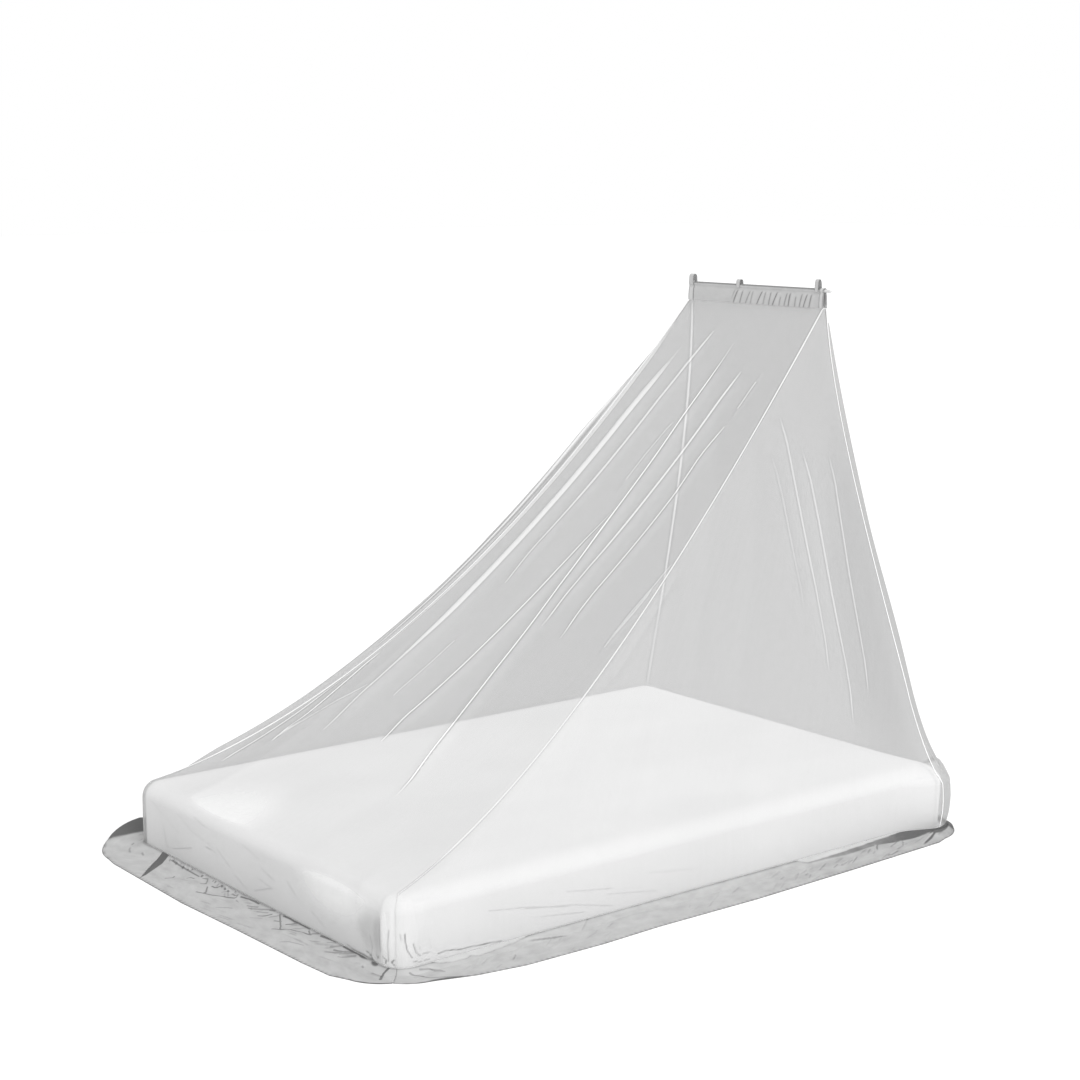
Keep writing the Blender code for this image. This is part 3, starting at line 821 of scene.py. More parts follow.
ROOF_FOLDS = (
    # (share across, share down) ..., height, half width, line of painted highlight and shade, half width
    # of its pale band of painted highlight
    Fold(
        (
            (0.185, 0.05), (0.165, 0.12), (0.153, 0.22), (0.145, 0.30), (0.143, 0.38),
            (0.145, 0.45), (0.155, 0.53), (0.168, 0.60), (0.180, 0.66), (0.205, 0.77),
        ),
        0.017, 0.026, 0.36, 0.010,
    ),
    Fold(
        (
            (0.345, 0.02), (0.325, 0.07), (0.295, 0.13), (0.277, 0.20), (0.262, 0.27),
            (0.247, 0.35), (0.250, 0.43),
        ),
        0.010, 0.020, 0.40, 0.002,
    ),
    Fold(((0.278, 0.51), (0.277, 0.65)), 0.004, 0.012, 0.22),
    Fold(
        (
            (0.530, 0.04), (0.530, 0.10), (0.528, 0.20), (0.522, 0.27), (0.525, 0.33),
            (0.533, 0.40), (0.552, 0.47), (0.572, 0.55), (0.597, 0.62), (0.622, 0.68),
            (0.660, 0.77), (0.673, 0.82),
        ),
        0.014, 0.024, 0.70,
    ),
    Fold(
        (
            (0.505, 0.27), (0.480, 0.33), (0.460, 0.38), (0.440, 0.46), (0.430, 0.52),
            (0.423, 0.60), (0.420, 0.67), (0.425, 0.74),
        ),
        0.013, 0.022, 0.62,
    ),
    Fold(
        (
            (0.700, 0.07), (0.687, 0.13), (0.662, 0.20), (0.642, 0.25), (0.622, 0.31),
            (0.602, 0.37), (0.587, 0.47),
        ),
        0.012, 0.022, 0.50, 0.0015,
    ),
    Fold(
        (
            (0.810, 0.14), (0.778, 0.20), (0.773, 0.25), (0.753, 0.30), (0.728, 0.36),
            (0.713, 0.40), (0.708, 0.48),
        ),
        0.009, 0.020, 0.55,
    ),
    Fold(((0.475, 0.15), (0.445, 0.20), (0.435, 0.25)), 0.004, 0.012, 0.25),
    Fold(((0.835, 0.09), (0.815, 0.14)), 0.004, 0.010, 0.35),
    Fold(((0.985, 0.34), (0.940, 0.42), (0.925, 0.49)), 0.004, 0.010, 0.25),
    Fold(((0.970, 0.38), (0.930, 0.47)), 0.003, 0.008, 0.2),
    Fold(((0.160, 0.64), (0.130, 0.69), (0.112, 0.73), (0.100, 0.79)), 0.006, 0.014, 0.3),
    Fold(((0.035, 0.58), (0.060, 0.67), (0.085, 0.74), (0.104, 0.82)), 0.005, 0.012, 0.6),
    Fold(((0.020, 0.62), (0.045, 0.74), (0.070, 0.90)), 0.004, 0.010, 0.45),
    Fold(((0.014, 0.02), (0.018, 0.30), (0.018, 0.66)), 0.001, 0.010, 0.30, 0.009),
    Fold(((0.09, 0.50), (0.15, 0.80), (0.22, 1.10)), 0.008, 0.040, 0.0),
    Fold(((0.973, 1.05), (0.973, 1.49)), 0.005, 0.009, 0.0),
    Fold(((0.88, 0.95), (0.90, 1.45)), 0.006, 0.030, 0.0),
)
SIDE_RIGHT_FOLDS = (
    Fold(((0.05, 0.35), (0.06, 0.55)), 0.006, 0.030, 0.0),
    Fold(((0.04, 0.95), (0.03, 1.45)), 0.009, 0.040, 0.0),
    Fold(((0.012, 1.05), (0.010, 1.49)), 0.004, 0.008, 0.0),
    Fold(((0.022, 1.15), (0.024, 1.49)), 0.004, 0.009, 0.0),
)
HEAD_FOLDS = (
    Fold(((0.035, -0.40), (0.035, 2.00)), 0.022, 0.022, 0.0),
    Fold(((0.035, 0.50), (0.035, 2.20)), 0.014, 0.034, 0.0),
    Fold(((0.180, 0.36), (0.185, 0.50), (0.185, 0.62), (0.172, 0.88)), 0.010, 0.022, 0.9, 0.0008),
    Fold(
        ((0.345, 0.35), (0.305, 0.53), (0.280, 0.68), (0.255, 0.82), (0.242, 0.96)),
        0.013, 0.024, 1.0, 0.0012,
    ),
    Fold(
        ((0.465, 0.27), (0.405, 0.48), (0.350, 0.67), (0.335, 0.74), (0.310, 0.86)),
        0.012, 0.024, 1.0, 0.0012,
    ),
    Fold(((0.535, 0.37), (0.483, 0.48), (0.440, 0.60), (0.395, 0.73)), 0.008, 0.024, 0.7, 0.0008),
    Fold(((0.62, 0.30), (0.68, 1.10)), 0.014, 0.045, 0.0),
    Fold(((0.86, 0.20), (0.84, 1.20)), 0.016, 0.040, 0.0),
)
SIDE_LEFT_FOLDS = (
    Fold(((0.95, 0.04), (0.95, 1.05)), 0.030, 0.036, 0.0),
    Fold(((0.972, 0.10), (0.975, 0.60)), 0.002, 0.010, 0.5),
    Fold(((0.940, 0.16), (0.950, 0.40)), 0.002, 0.010, 0.4),
    Fold(((0.945, 0.46), (0.960, 0.75)), 0.002, 0.010, 0.4),
    Fold(((0.08, 0.10), (0.07, 1.20)), 0.015, 0.050, 0.0),
    Fold(((0.45, 0.35), (0.55, 1.00)), 0.012, 0.070, 0.0),
)

ROOF_DOUBLED = (
    # (share across, share down), half size, extra cover; a negative cover thins the net as a painted
    # highlight
    Doubled((0.045, 0.74), (0.040, 0.12), 0.14),
    Doubled((0.957, 1.41), (0.012, 0.070), 0.20),
    Doubled((0.928, 1.41), (0.032, 0.060), 0.20),
    Doubled((0.976, 1.40), (0.007, 0.120), -0.13),
    Doubled((0.992, 1.38), (0.005, 0.120), -0.09),
    Doubled((0.320, 1.01), (0.120, 0.100), -0.13),
    Doubled((0.800, 1.30), (0.110, 0.100), -0.20),
)
ROOF_GROOVES = (
    # (share across, share down) ..., strength of its painted shade
    Groove(((0.966, 1.35), (0.963, 1.40), (0.966, 1.46)), 0.28),
    Groove(((0.986, 1.38), (0.983, 1.43), (0.985, 1.48)), 0.35),
    Groove(((0.930, 1.42), (0.938, 1.45), (0.936, 1.48)), 0.30),
    Groove(((0.250, 1.26), (0.300, 1.32)), 0.24),
    Groove(((0.060, 1.30), (0.110, 1.36), (0.180, 1.40)), 0.20),
    Groove(((0.180, 1.33), (0.240, 1.37), (0.330, 1.39)), 0.18),
    Groove(((0.350, 1.39), (0.400, 1.43)), 0.30),
    Groove(((0.455, 1.31), (0.520, 1.35)), 0.20),
    Groove(((0.530, 1.38), (0.580, 1.40)), 0.25),
    Groove(((0.515, 1.42), (0.570, 1.43)), 0.25),
    Groove(((0.630, 1.38), (0.670, 1.42)), 0.32),
    Groove(((0.570, 1.43), (0.500, 1.47)), 0.30),
    Groove(((0.240, 1.43), (0.150, 1.47)), 0.30),
    Groove(((0.420, 1.45), (0.470, 1.48)), 0.30),
    Groove(((0.720, 1.44), (0.770, 1.47)), 0.30),
    Groove(((0.110, 1.40), (0.130, 1.49)), 0.35),
    Groove(((0.918, 1.478), (0.934, 1.484), (0.941, 1.496), (0.928, 1.492)), 0.7),
    Groove(((0.950, 1.472), (0.956, 1.484), (0.960, 1.474)), 0.5),
    Groove(((0.972, 1.470), (0.980, 1.478), (0.978, 1.490)), 0.8),
    Groove(((0.996, 1.474), (0.990, 1.482), (0.997, 1.492)), 0.7),
    Groove(((0.905, 1.494), (0.930, 1.498), (0.950, 1.498)), 0.9),
    Groove(((0.850, 1.490), (0.880, 1.496), (0.905, 1.494)), 0.7),
    Groove(((0.300, 1.400), (0.345, 1.405)), 0.35),
)
SIDE_RIGHT_GROOVES = (
    Groove(((0.010, 1.390), (0.0105, 1.415), (0.013, 1.445), (0.019, 1.470)), 0.55),
    Groove(((0.020, 1.425), (0.024, 1.455), (0.031, 1.470)), 0.50),
    Groove(((0.034, 1.466), (0.045, 1.466)), 0.55),
    Groove(((0.044, 1.420), (0.048, 1.455)), 0.18),
    Groove(((0.030, 1.440), (0.032, 1.455)), 0.25),
    Groove(((0.020, 1.482), (0.032, 1.490)), 0.45),
    Groove(((0.105, 1.44), (0.107, 1.47)), 0.15),
    Groove(((0.140, 1.385), (0.200, 1.405), (0.270, 1.440)), 0.24),
    Groove(((0.200, 1.410), (0.280, 1.440), (0.350, 1.480)), 0.26),
    Groove(((0.225, 1.450), (0.300, 1.475)), 0.24),
    Groove(((0.270, 1.390), (0.350, 1.420)), 0.22),
    Groove(((0.340, 1.435), (0.430, 1.470)), 0.20),
    Groove(((0.415, 1.400), (0.500, 1.430)), 0.16),
    Groove(((0.058, 1.478), (0.072, 1.476), (0.096, 1.486), (0.110, 1.486), (0.160, 1.494)), 0.7),
    Groove(((0.004, 1.390), (0.006, 1.410)), 0.30),
    Groove(((0.036, 1.488), (0.046, 1.488)), 0.45),
)
HEAD_DOUBLED = (Doubled((0.08, 0.70), (0.17, 0.34), 0.25),)

PANELS = (
    # name, side, belly in metres, fullness, flat size, area, folds, doubled places and painted
    # highlights, grooves
    Panel(
        "net_side_right", RIGHT, (0.012, 0.0, 0.0), 2, (1.96, 1.62), 1.55,
        SIDE_RIGHT_FOLDS, (), SIDE_RIGHT_GROOVES,
    ),
    Panel("net_head", HEAD, (0.0, 0.050, 0.0), 4, (1.31, 1.60), 1.57, HEAD_FOLDS, HEAD_DOUBLED),
    Panel("net_side_left", LEFT, (-0.020, 0.0, 0.0), 4, (1.96, 1.62), 1.55, SIDE_LEFT_FOLDS),
    Panel(
        "net_roof", FOOT, (0.0, -0.004, -0.016), 2, (1.34, 2.60), 2.50,
        ROOF_FOLDS, ROOF_DOUBLED, ROOF_GROOVES,
    ),
)


@dataclass
class LineField:
    """The nearest of a panel's pressed lines, where the net's finish paints highlight or shade, at each
    point of its grid.
    """

    shape: tuple[int, int]
    reach: float = 0.013
    softness: float = 0.006
    faintest: float = 0.02

    def __post_init__(self) -> None:
        """Start with no line anywhere."""
        self.offset = np.full(self.shape, FAR)
        self.strength = np.zeros(self.shape)

    def draw(self, away: Array, line: Array | float) -> None:
        """Add one line where it is the nearest.

        Args:
            away: Signed distance from the line, in metres.
            line: Its strength.
        """
        strength = line * fading(np.abs(away), self.reach, self.softness)
        nearer = (np.abs(away) < np.abs(self.offset)) & (strength > self.faintest)
        self.offset = np.where(nearer, away, self.offset)
        self.strength = np.where(nearer, strength, self.strength)

    def tones(self, name: str) -> dict[str, Array]:
        """The field as the two attributes that the net's finish reads."""
        return {name + "_offset": self.offset, name + "_strength": self.strength}


@dataclass
class NetTent:
    """The four net panels, and the lines that the bound seams between them follow."""

    bed: Bed = BED
    clearance: float = 0.0038
    hem_height: float = 0.0190
    drop: float = 0.0012
    sleeve_width: float = 0.604
    sleeve_y: float = 0.85
    sleeve_bottom: float = 1.572
    sleeve_half_gap: float = 0.008
    arc_columns: int = 14
    near_columns: int = 56
    near_length: float = 0.24
    middle_columns: int = 240
    free_rows: int = 84
    wrap_rows: int = 14
    down_rows: int = 32
    side_level: float = 1 + 1 / 3
    last_level: float = 1.5
    landing_range: Pair = (math.radians(9), math.radians(79))
    landing_rounds: int = 8
    fold_sharpness: float = 1.6
    fold_end: float = 0.16
    fold_narrowing: float = 0.45
    fold_full_width: float = 1.1
    line_end: float = 0.08
    band_from: Pair = (0.0, 0.10)
    band_to: Pair = (0.80, 0.25)
    seam_line: float = 0.5
    seam_line_to: Pair = (1.05, 0.1)
    patch_reach: float = 1.5
    flat_beside_seam: float = 0.035
    flat_below_sleeve: float = 0.05
    flat_above_hem: float = 0.08

    def sleeve_corner(self, corner: int) -> Vector:
        """Where a corner of the net starts.

        Args:
            corner: Its place in CORNERS.

        Returns:
            A point at an end of the sleeve.
        """
        side, end = CORNERS[corner]
        y = self.sleeve_y + end * self.sleeve_half_gap
        return Vector((side * self.sleeve_width / 2, y, self.sleeve_bottom - self.drop))

    def sag(self, corner: int) -> tuple[Vector, float]:
        """A seam's sag as a vector, and its skew."""
        sag = SAGS[corner]
        return Vector((CORNERS[corner][0] * sag.out, sag.along, sag.up)), sag.skew

    def levels(self) -> Array:
        """Level of each row.

        Returns:
            0 at the sleeve, 1 at the mattress's edge, then on down its side.
        """
        free = np.arange(self.free_rows) / self.free_rows
        over = np.linspace(1.0, self.side_level, self.wrap_rows, endpoint=False)
        return np.concatenate(
            (free, over, np.linspace(self.side_level, self.last_level, self.down_rows + 1))
        )

    def shares(self, leg: int) -> Array:
        """Place the columns of a panel, close together near its seams.

        Args:
            leg: Its side of the bed.

        Returns:
            The shares of the side's length at which they stand.
        """
        arc = self.bed.half_arc / self.bed.legs()[leg]
        near = arc + self.near_length / self.bed.legs()[leg]
        start = np.linspace(0.0, arc, self.arc_columns, endpoint=False)
        beside = np.linspace(arc, near, self.near_columns, endpoint=False)
        half = np.linspace(near, 0.5, self.middle_columns // 2, endpoint=False)
        left = np.concatenate((start, beside, half))
        return np.concatenate((left, (0.5,), 1 - left[::-1]))

    def stand_off(self, distance: float, levels: Array | float) -> Array:
        """How far the net hangs clear of the mattress's side.

        Args:
            distance: Along the outline.
            levels: The rows' shares down.

        Returns:
            Metres outwards.
        """
        out = 0.0
        for place in STAND_OFFS:
            middle = self.bed.leg_start(place.leg) + place.after
            out += place.out * smooth(1 - abs(distance - middle) / place.half_length)
        return out * along_table(levels, STAND_OFF_SHARES)

    def column(
        self, top: Vector, distance: float, sag: Vector, skew: float, clearance: float
    ) -> list[Triple]:
        """Points of one column, from the sleeve over the mattress's edge to the hem.

        Args:
            top: Where it starts.
            distance: Where it stands along the outline.
            sag: How far its middle hangs off the straight line.
            skew: How far the sag leans towards the mattress.
            clearance: Metres off the mattress.

        Returns:
            The points.
        """
        core, facing = self.bed.outline(distance)
        landing = math.pi / 4
        flattest, steepest = self.landing_range
        for _round in range(self.landing_rounds):
            end = self.bed.over_edge(core, facing, landing, clearance)
            slope = (end - top) - 4 * sag * (1 + skew)
            landing = min(max(math.atan2(-slope.z, slope.dot(facing)), flattest), steepest)
        end = self.bed.over_edge(core, facing, landing, clearance)
        push = facing * math.sin(landing) + Vector((0.0, 0.0, math.cos(landing)))
        pushed = self.stand_off(distance, self.levels())
        rows = []
        for step in range(self.free_rows):
            t = step / self.free_rows
            bow = 4 * t * (1 - t) * (1 + skew * (2 * t - 1))
            rows.append(tuple(top.lerp(end, t) + sag * bow + push * float(pushed[step])))
        clear = clearance + pushed[self.free_rows :]
        for step in range(self.wrap_rows):
            angle = landing + (math.pi / 2 - landing) * step / self.wrap_rows
            rows.append(tuple(self.bed.over_edge(core, facing, angle, float(clear[step]))))
        for step in range(self.down_rows + 1):
            off = float(clear[self.wrap_rows + step])
            side = self.bed.over_edge(core, facing, math.pi / 2, off)
            height = side.z + (self.hem_height - side.z) * step / self.down_rows
            rows.append((side.x, side.y, height))
        return rows

    def base(self, panel: Panel) -> Array:
        """Hang a panel without its folds.

        Args:
            panel: The panel.

        Returns:
            Its points, from seam line to seam line.
        """
        first, second = panel.leg, (panel.leg + 1) % 4
        (sag_first, skew_first), (sag_second, skew_second) = self.sag(first), self.sag(second)
        shares = self.shares(panel.leg)
        leg_length = self.bed.legs()[panel.leg]
        start = self.bed.leg_start(panel.leg)
        columns = []
        for index, u in enumerate(shares):
            even = index / (len(shares) - 1)
            top_share = even if panel.leg in (RIGHT, LEFT) else float(u)
            top = self.sleeve_corner(first).lerp(self.sleeve_corner(second), top_share)
            swell = 1 - abs(2 * u - 1) ** panel.fullness
            sag = sag_first.lerp(sag_second, float(u)) + Vector(panel.belly) * swell
            skew = skew_first * (1 - u) + skew_second * u
            distance = start + float(u) * leg_length
            columns.append(self.column(top, distance, sag, float(skew), self.clearance))
        return np.array(columns)

    def fold_fields(self, panel: Panel, base: Array) -> dict[str, Array]:
        """Relief of a panel, and the lines along which its finish paints highlight and shade.

        Args:
            panel: The panel.
            base: Its points without folds.

        Returns:
            "lift" in metres, the signed distance and strength of the nearest pleat, where a highlight
            is painted, and of the nearest groove, where shade is painted, and the extra cover where
            the net lies double or is thinned as a painted highlight.
        """
        u = self.shares(panel.leg)[:, None]
        t = self.levels()[None, :]
        width = np.linalg.norm(np.diff(base, axis=0), axis=2).sum(axis=0)[None, :]
        lift = np.zeros(base.shape[:2])
        pleats = LineField(base.shape[:2])
        for fold in panel.folds:
            places = np.array(fold.run)
            centre = np.interp(t, places[:, 1], places[:, 0])
            run = (t - places[0, 1]) / (places[-1, 1] - places[0, 1])
            from_end = np.minimum(run, 1 - run)
            away = (u - centre) * width
            full = np.clip(width / self.fold_full_width, 0.0, 1.0)
            spread = fold.half_width * (1 - self.fold_narrowing + self.fold_narrowing * full)
            crest = np.exp(-np.abs(away / spread) ** self.fold_sharpness)
            lift += fold.height * smooth(from_end / self.fold_end) * crest
            band = fold.band * rising(run, *self.band_from) * fading(run, *self.band_to)
            away = np.sign(away) * np.maximum(np.abs(away) - band, 0.0)
            pleats.draw(away, fold.line * smooth(from_end / self.line_end))
        # a pale line along each seam, as a painted highlight with painted shade beside it
        for away in (u * width, (1 - u) * width):
            pleats.draw(away, self.seam_line * fading(t, *self.seam_line_to))
        doubling_and_highlight = np.zeros_like(lift)
        for patch in panel.doubling_and_highlight:
            (u_middle, t_middle), (u_half, t_half) = patch.middle, patch.half_size
            apart = np.hypot((u - u_middle) / u_half, (t - t_middle) / t_half)
            doubling_and_highlight += patch.cover * smooth(self.patch_reach - apart)
        lift *= np.clip(np.minimum(u, 1 - u) / self.flat_beside_seam, 0, 1)
        lift *= np.clip(t / self.flat_below_sleeve, 0, 1)
        lift *= np.clip((self.last_level - t) / self.flat_above_hem, 0, 1)
        grooves = self.groove_field(panel, base, u, t, width)
        return {"lift": lift, "doubling_and_highlight": doubling_and_highlight, **pleats.tones("pleat_highlight"), **grooves.tones("groove")}

    @staticmethod
    def groove_field(panel: Panel, base: Array, u: Array, t: Array, width: Array) -> LineField:
        """Fine creases of a panel, painted dark as shade.

        Args:
            panel: The panel.
            base: Its points without folds.
            u: Share across of each column.
            t: Level of each row.
            width: Width of each row in metres.

        Returns:
            The creases.
        """
        grooves = LineField(base.shape[:2])
        heights = np.linalg.norm(np.diff(base, axis=1), axis=2).mean(axis=0)
        down = np.append(0.0, np.cumsum(heights))
        for groove in panel.grooves:
            run = tuple(
                (share * float(np.interp(level, t[0], width[0])), float(np.interp(level, t[0], down)))
                for share, level in groove.run
            )
            grooves.draw(from_run(u * width, down[None, :], run), groove.strength)
        return grooves

    def build_panel(self, panel: Panel, finish: Material) -> Object:
        """Make one panel as a single layer of net.

        Args:
            panel: The panel.
            finish: Its material.

        Returns:
            The panel's object.
        """
        base = self.base(panel)
        fields = self.fold_fields(panel, base)
        points = base + outward(base) * fields.pop("lift")[:, :, None]
        piece = ClothGrid(panel.name + "_cloth", points, tones=fields).build(finish)
        piece.visible_shadow = piece.visible_diffuse = piece.visible_glossy = False
        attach(piece, "root")
        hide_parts(panel.name)
        return piece


@dataclass
class BoundSeams:
    """White tapes bound over the four seams of the tent."""

    tent: NetTent
    clearance: float = 0.0052
    half_widths: tuple[float, ...] = (0.0026, 0.0042, 0.0030, 0.0030)
    half_depth: float = 0.0011
    top_drop: float = 0.0045
    names: tuple[str, ...] = ("seam_foot_right", "seam_head_right", "seam_head_left", "seam_foot_left")
    paleness: tuple[float, ...] = (0.0, 0.8, 1.0, 0.3)
    narrowed: tuple[float, ...] = (0.93, 0.0, 0.0, 0.93)
    slides: tuple[float, ...] = (0.0, -0.034, 0.0, 0.0)
    top_share: float = 0.8
    leaning: float = 1e-4
    slide_levels: Pair = (0.80, 0.22)
    narrow_levels: Pair = (0.86, 0.07)
    squareness: float = 0.6
    edge_from: Pair = (0.8, 0.2)
    edge_dark: float = 0.8
    section_points: int = 13

    def build(self, corner: int, finish: Material) -> Object:
        """Make one tape, laid flat against the net, from the sleeve to the skirt.

        Args:
            corner: Its place in CORNERS.
            finish: Its material.

        Returns:
            The tape's object.
        """
        tent = self.tent
        start = tent.bed.leg_start(corner)
        sag, skew = tent.sag(corner)
        top = tent.sleeve_corner(corner)
        rows = np.array(tent.column(top, start, sag, skew, self.clearance))
        slid = np.array(tent.column(top, start + self.slides[corner], sag, skew, self.clearance))
        rows += (slid - rows) * rising(tent.levels(), *self.slide_levels)[:, None]
        first = rows[1] - rows[0]
        rows[0] += first * min(self.top_share, self.top_drop / abs(first[2]))
        tangents = np.gradient(rows, axis=0)
        tangents /= np.linalg.norm(tangents, axis=1, keepdims=True)
        facing = np.array(tent.bed.outline(start)[1])
        outwards = facing - tangents * (tangents @ facing)[:, None]
        outwards += np.array((0.0, 0.0, self.leaning))
        outwards /= np.linalg.norm(outwards, axis=1, keepdims=True)
        sideways = np.cross(tangents, outwards)
        angles = np.linspace(0.0, 2 * math.pi, self.section_points)
        narrow = self.narrowed[corner] * rising(tent.levels(), *self.narrow_levels)
        half_width = (self.half_widths[corner] * (1 - narrow))[:, None]
        section = [
            rows
            + sideways * half_width * math.copysign(abs(math.cos(a)) ** self.squareness, math.cos(a))
            + outwards * (math.sin(a) * self.half_depth)
            for a in angles
        ]
        edges = np.abs(np.cos(angles))[:, None] + 0 * rows[None, :, 0]
        tones = {
            "dark": self.edge_dark * rising(edges, *self.edge_from) * (1 - narrow)[None, :],
            "light": self.paleness[corner] + 0 * edges,
        }
        grid = ClothGrid(self.names[corner] + "_tape", np.array(section), tones=tones)
        piece = grid.build(finish)
        bm = bmesh.new()
        bm.from_mesh(piece.data)
        bmesh.ops.remove_doubles(bm, verts=bm.verts, dist=1e-6)
        bmesh.ops.holes_fill(bm, edges=bm.edges, sides=0)
        bmesh.ops.recalc_face_normals(bm, faces=bm.faces)
        bm.to_mesh(piece.data)
        bm.free()
        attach(piece, "root")
        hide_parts(self.names[corner])
        return piece


# ================================================================ sleeve, rod, tabs
@dataclass(frozen=True)
class Gather:
    """One slanted crease in the sleeve: its foot, its lean to the right, its depth, its top."""

    x: float
    lean: float
    depth: float
    top: float = 0.96


GATHERS = (
    # foot along the rod, lean, depth, share of the sleeve's height that it reaches
    Gather(-0.100, 0.024, 0.0018),
    Gather(-0.083, 0.021, 0.0030),
    Gather(-0.054, 0.014, 0.0020),
    Gather(-0.028, 0.022, 0.0018),
    Gather(-0.006, 0.012, 0.0014),
    Gather(0.024, 0.024, 0.0034),
    Gather(0.051, 0.012, 0.0016),
    Gather(0.076, 0.010, 0.0020),
    Gather(0.094, 0.021, 0.0034),
    Gather(0.122, 0.010, 0.0017, 0.70),
    Gather(0.144, 0.013, 0.0020),
    Gather(0.163, 0.008, 0.0028),
    Gather(0.190, 0.006, 0.0018, 0.76),
    Gather(0.210, 0.012, 0.0020),
    Gather(0.228, 0.016, 0.0026),
    Gather(0.252, 0.010, 0.0022),
)


@dataclass(frozen=True)
class Binding:
    """A folded strip over an end of the sleeve: its name and the run of rod it covers."""

    name: str
    left: float
    right: float


@dataclass(frozen=True)
class Tab:
    """A tape loop on the sleeve: its name, its run along the rod and its height."""

    name: str
    left: float
    right: float
    height: float
    over_binding: bool = False


@dataclass
class Header:
    """The gathered sleeve on the spreader rod, its end bindings and its tabs."""

    tent: NetTent
    bindings: tuple[Binding, ...] = (
        Binding("end_binding_left", -0.302, -0.279),
        Binding("end_binding_right", 0.286, 0.302),
    )
    tabs: tuple[Tab, ...] = (
        Tab("hanging_tab_left", -0.300, -0.281, 0.0215, over_binding=True),
        Tab("hanging_tab_middle", -0.080, -0.064, 0.0130),
        Tab("hanging_tab_right", 0.266, 0.280, 0.0260),
    )
    thickness: float = 0.0012
    rod_rise: float = 0.0525
    channel_radius: float = 0.0064
    channel_turn: Pair = (-42.0, 90.0)
    channel_steps: int = 8
    pinch_half_gap: float = 0.0045
    pinch_drop: float = 0.0085
    outside_pinch: float = 0.9
    wall_points: int = 16
    binding_offset: float = 0.00145
    binding_thickness: float = 0.0010
    binding_flat_length: float = 0.14
    binding_edge: float = 0.0026
    binding_dark: float = 0.9
    binding_middle: float = 0.003
    binding_light: float = 0.25
    tab_thickness: float = 0.0013
    tab_flat_length: float = 0.07
    tab_edge: float = 0.002
    tab_dark: float = 0.6
    seat_gap: float = 0.00035
    tab_leg: float = 0.0120
    edge_softness: float = 0.002
    gather_half_width: float = 0.0075
    gather_sharpness: float = 1.7
    gather_fade: float = 0.16
    gathered_run: Pair = (-0.105, 0.272)
    gathered_fade: float = 0.02
    valley_half_width: float = 0.0028
    # painted shade along the sleeve's top starts this far above the rod's middle
    top_shade: float = 0.0015
    stations: int = 300
    strip_stations: int = 9
    loop_points: int = 25

    @property
    def rod_height(self) -> float:
        """Height of the rod's middle."""
        return self.tent.sleeve_bottom + self.rod_rise

    def section(self, offset: float) -> Array:
        """Section of the sleeve, up its front, over the rod and down its back.

        Args:
            offset: Metres off the sleeve's own middle surface.

        Returns:
            (y off the sleeve's middle, z) of each point.
        """
        bottom, gap = self.tent.sleeve_bottom, self.tent.sleeve_half_gap
        centre = self.rod_height
        wall = np.array(
            (
                # y, z: nearly upright, then drawn in to the stitched line under the rod
                (gap + offset, bottom),
                (gap + 0.0004 + offset, bottom + 0.013),
                (gap - 0.0004 + offset, bottom + 0.027),
                (0.8 * gap + offset, bottom + 0.037),
                (self.pinch_half_gap + offset, centre - self.pinch_drop),
            )
        )
        heights = np.linspace(wall[0, 1], wall[-1, 1], self.wall_points)
        half = np.interp(heights, wall[:, 1], wall[:, 0])
        radius = self.channel_radius + offset
        front = [(-y, z) for y, z in zip(half, heights)]
        start, end = self.channel_turn
        for step in range(self.channel_steps + 1):
            angle = math.radians(start + (end - start) * step / self.channel_steps)
            front.append((-radius * math.cos(angle), centre + radius * math.sin(angle)))
        back = [(-y, z) for y, z in reversed(front[:-1])]
        return np.array(front + back)

    def gather_fields(self, x: Array, share: Array) -> tuple[Array, Array]:
        """Push of the gathers and the painted shade in their valleys.

        Args:
            x: Place along the sleeve.
            share: Share of the way up from its lower edge to the stitched line.

        Returns:
            The push outwards in metres, and how dark each place is.
        """
        first, last = self.gathered_run
        inside = rising(x, first, self.gathered_fade) * fading(x, last, self.gathered_fade)
        push = np.zeros_like(x + share)
        dark = np.zeros_like(push)
        for gather in GATHERS:
            away = x - (gather.x + gather.lean * share)
            fade = fading(share, gather.top, self.gather_fade)
            crest = np.exp(-np.abs(away / self.gather_half_width) ** self.gather_sharpness)
            push += gather.depth * crest * fade
            # painted shade in the valley beside each gather
            valley = np.exp(-np.abs((away + self.gather_half_width) / self.valley_half_width) ** 2)
            dark += valley * fade * gather.depth / self.valley_half_width
        return push * inside, np.clip(dark * inside, 0.0, 1.0)

    def build_sleeve(self, finish: Material) -> Object:
        """Make the sleeve with its gathers.

        Args:
            finish: Its material.

        Returns:
            The sleeve's object.
        """
        half = self.tent.sleeve_width / 2
        x = np.linspace(-half, half, self.stations)[:, None]
        points = shell(x, self.section(0.0), self.tent.sleeve_y)
        y, z = points[:1, :, 1] - self.tent.sleeve_y, points[:1, :, 2]
        band = self.rod_height - self.pinch_drop - self.tent.sleeve_bottom
        share = (z - self.tent.sleeve_bottom) / band
        push, dark = self.gather_fields(x, share)
        side = np.sign(y) * (np.abs(y) > self.pinch_half_gap * self.outside_pinch)
        points[:, :, 1] += side * push * (share < 1)
        # painted shade along the top of the sleeve, over the rod
        top_shade = rising(z - self.rod_height, self.top_shade, self.edge_softness) + 0 * x
        tones = {"dark": np.clip(dark + top_shade, 0.0, 1.0), "light": np.zeros_like(dark)}
        grid = ClothGrid("gathered_sleeve", points, Facing.ACROSS_BY_DOWN, tones)
        piece = grid.build(finish)
        thicken(piece, self.thickness)
        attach(piece, "root")
        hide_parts("header_sleeve")
        return piece

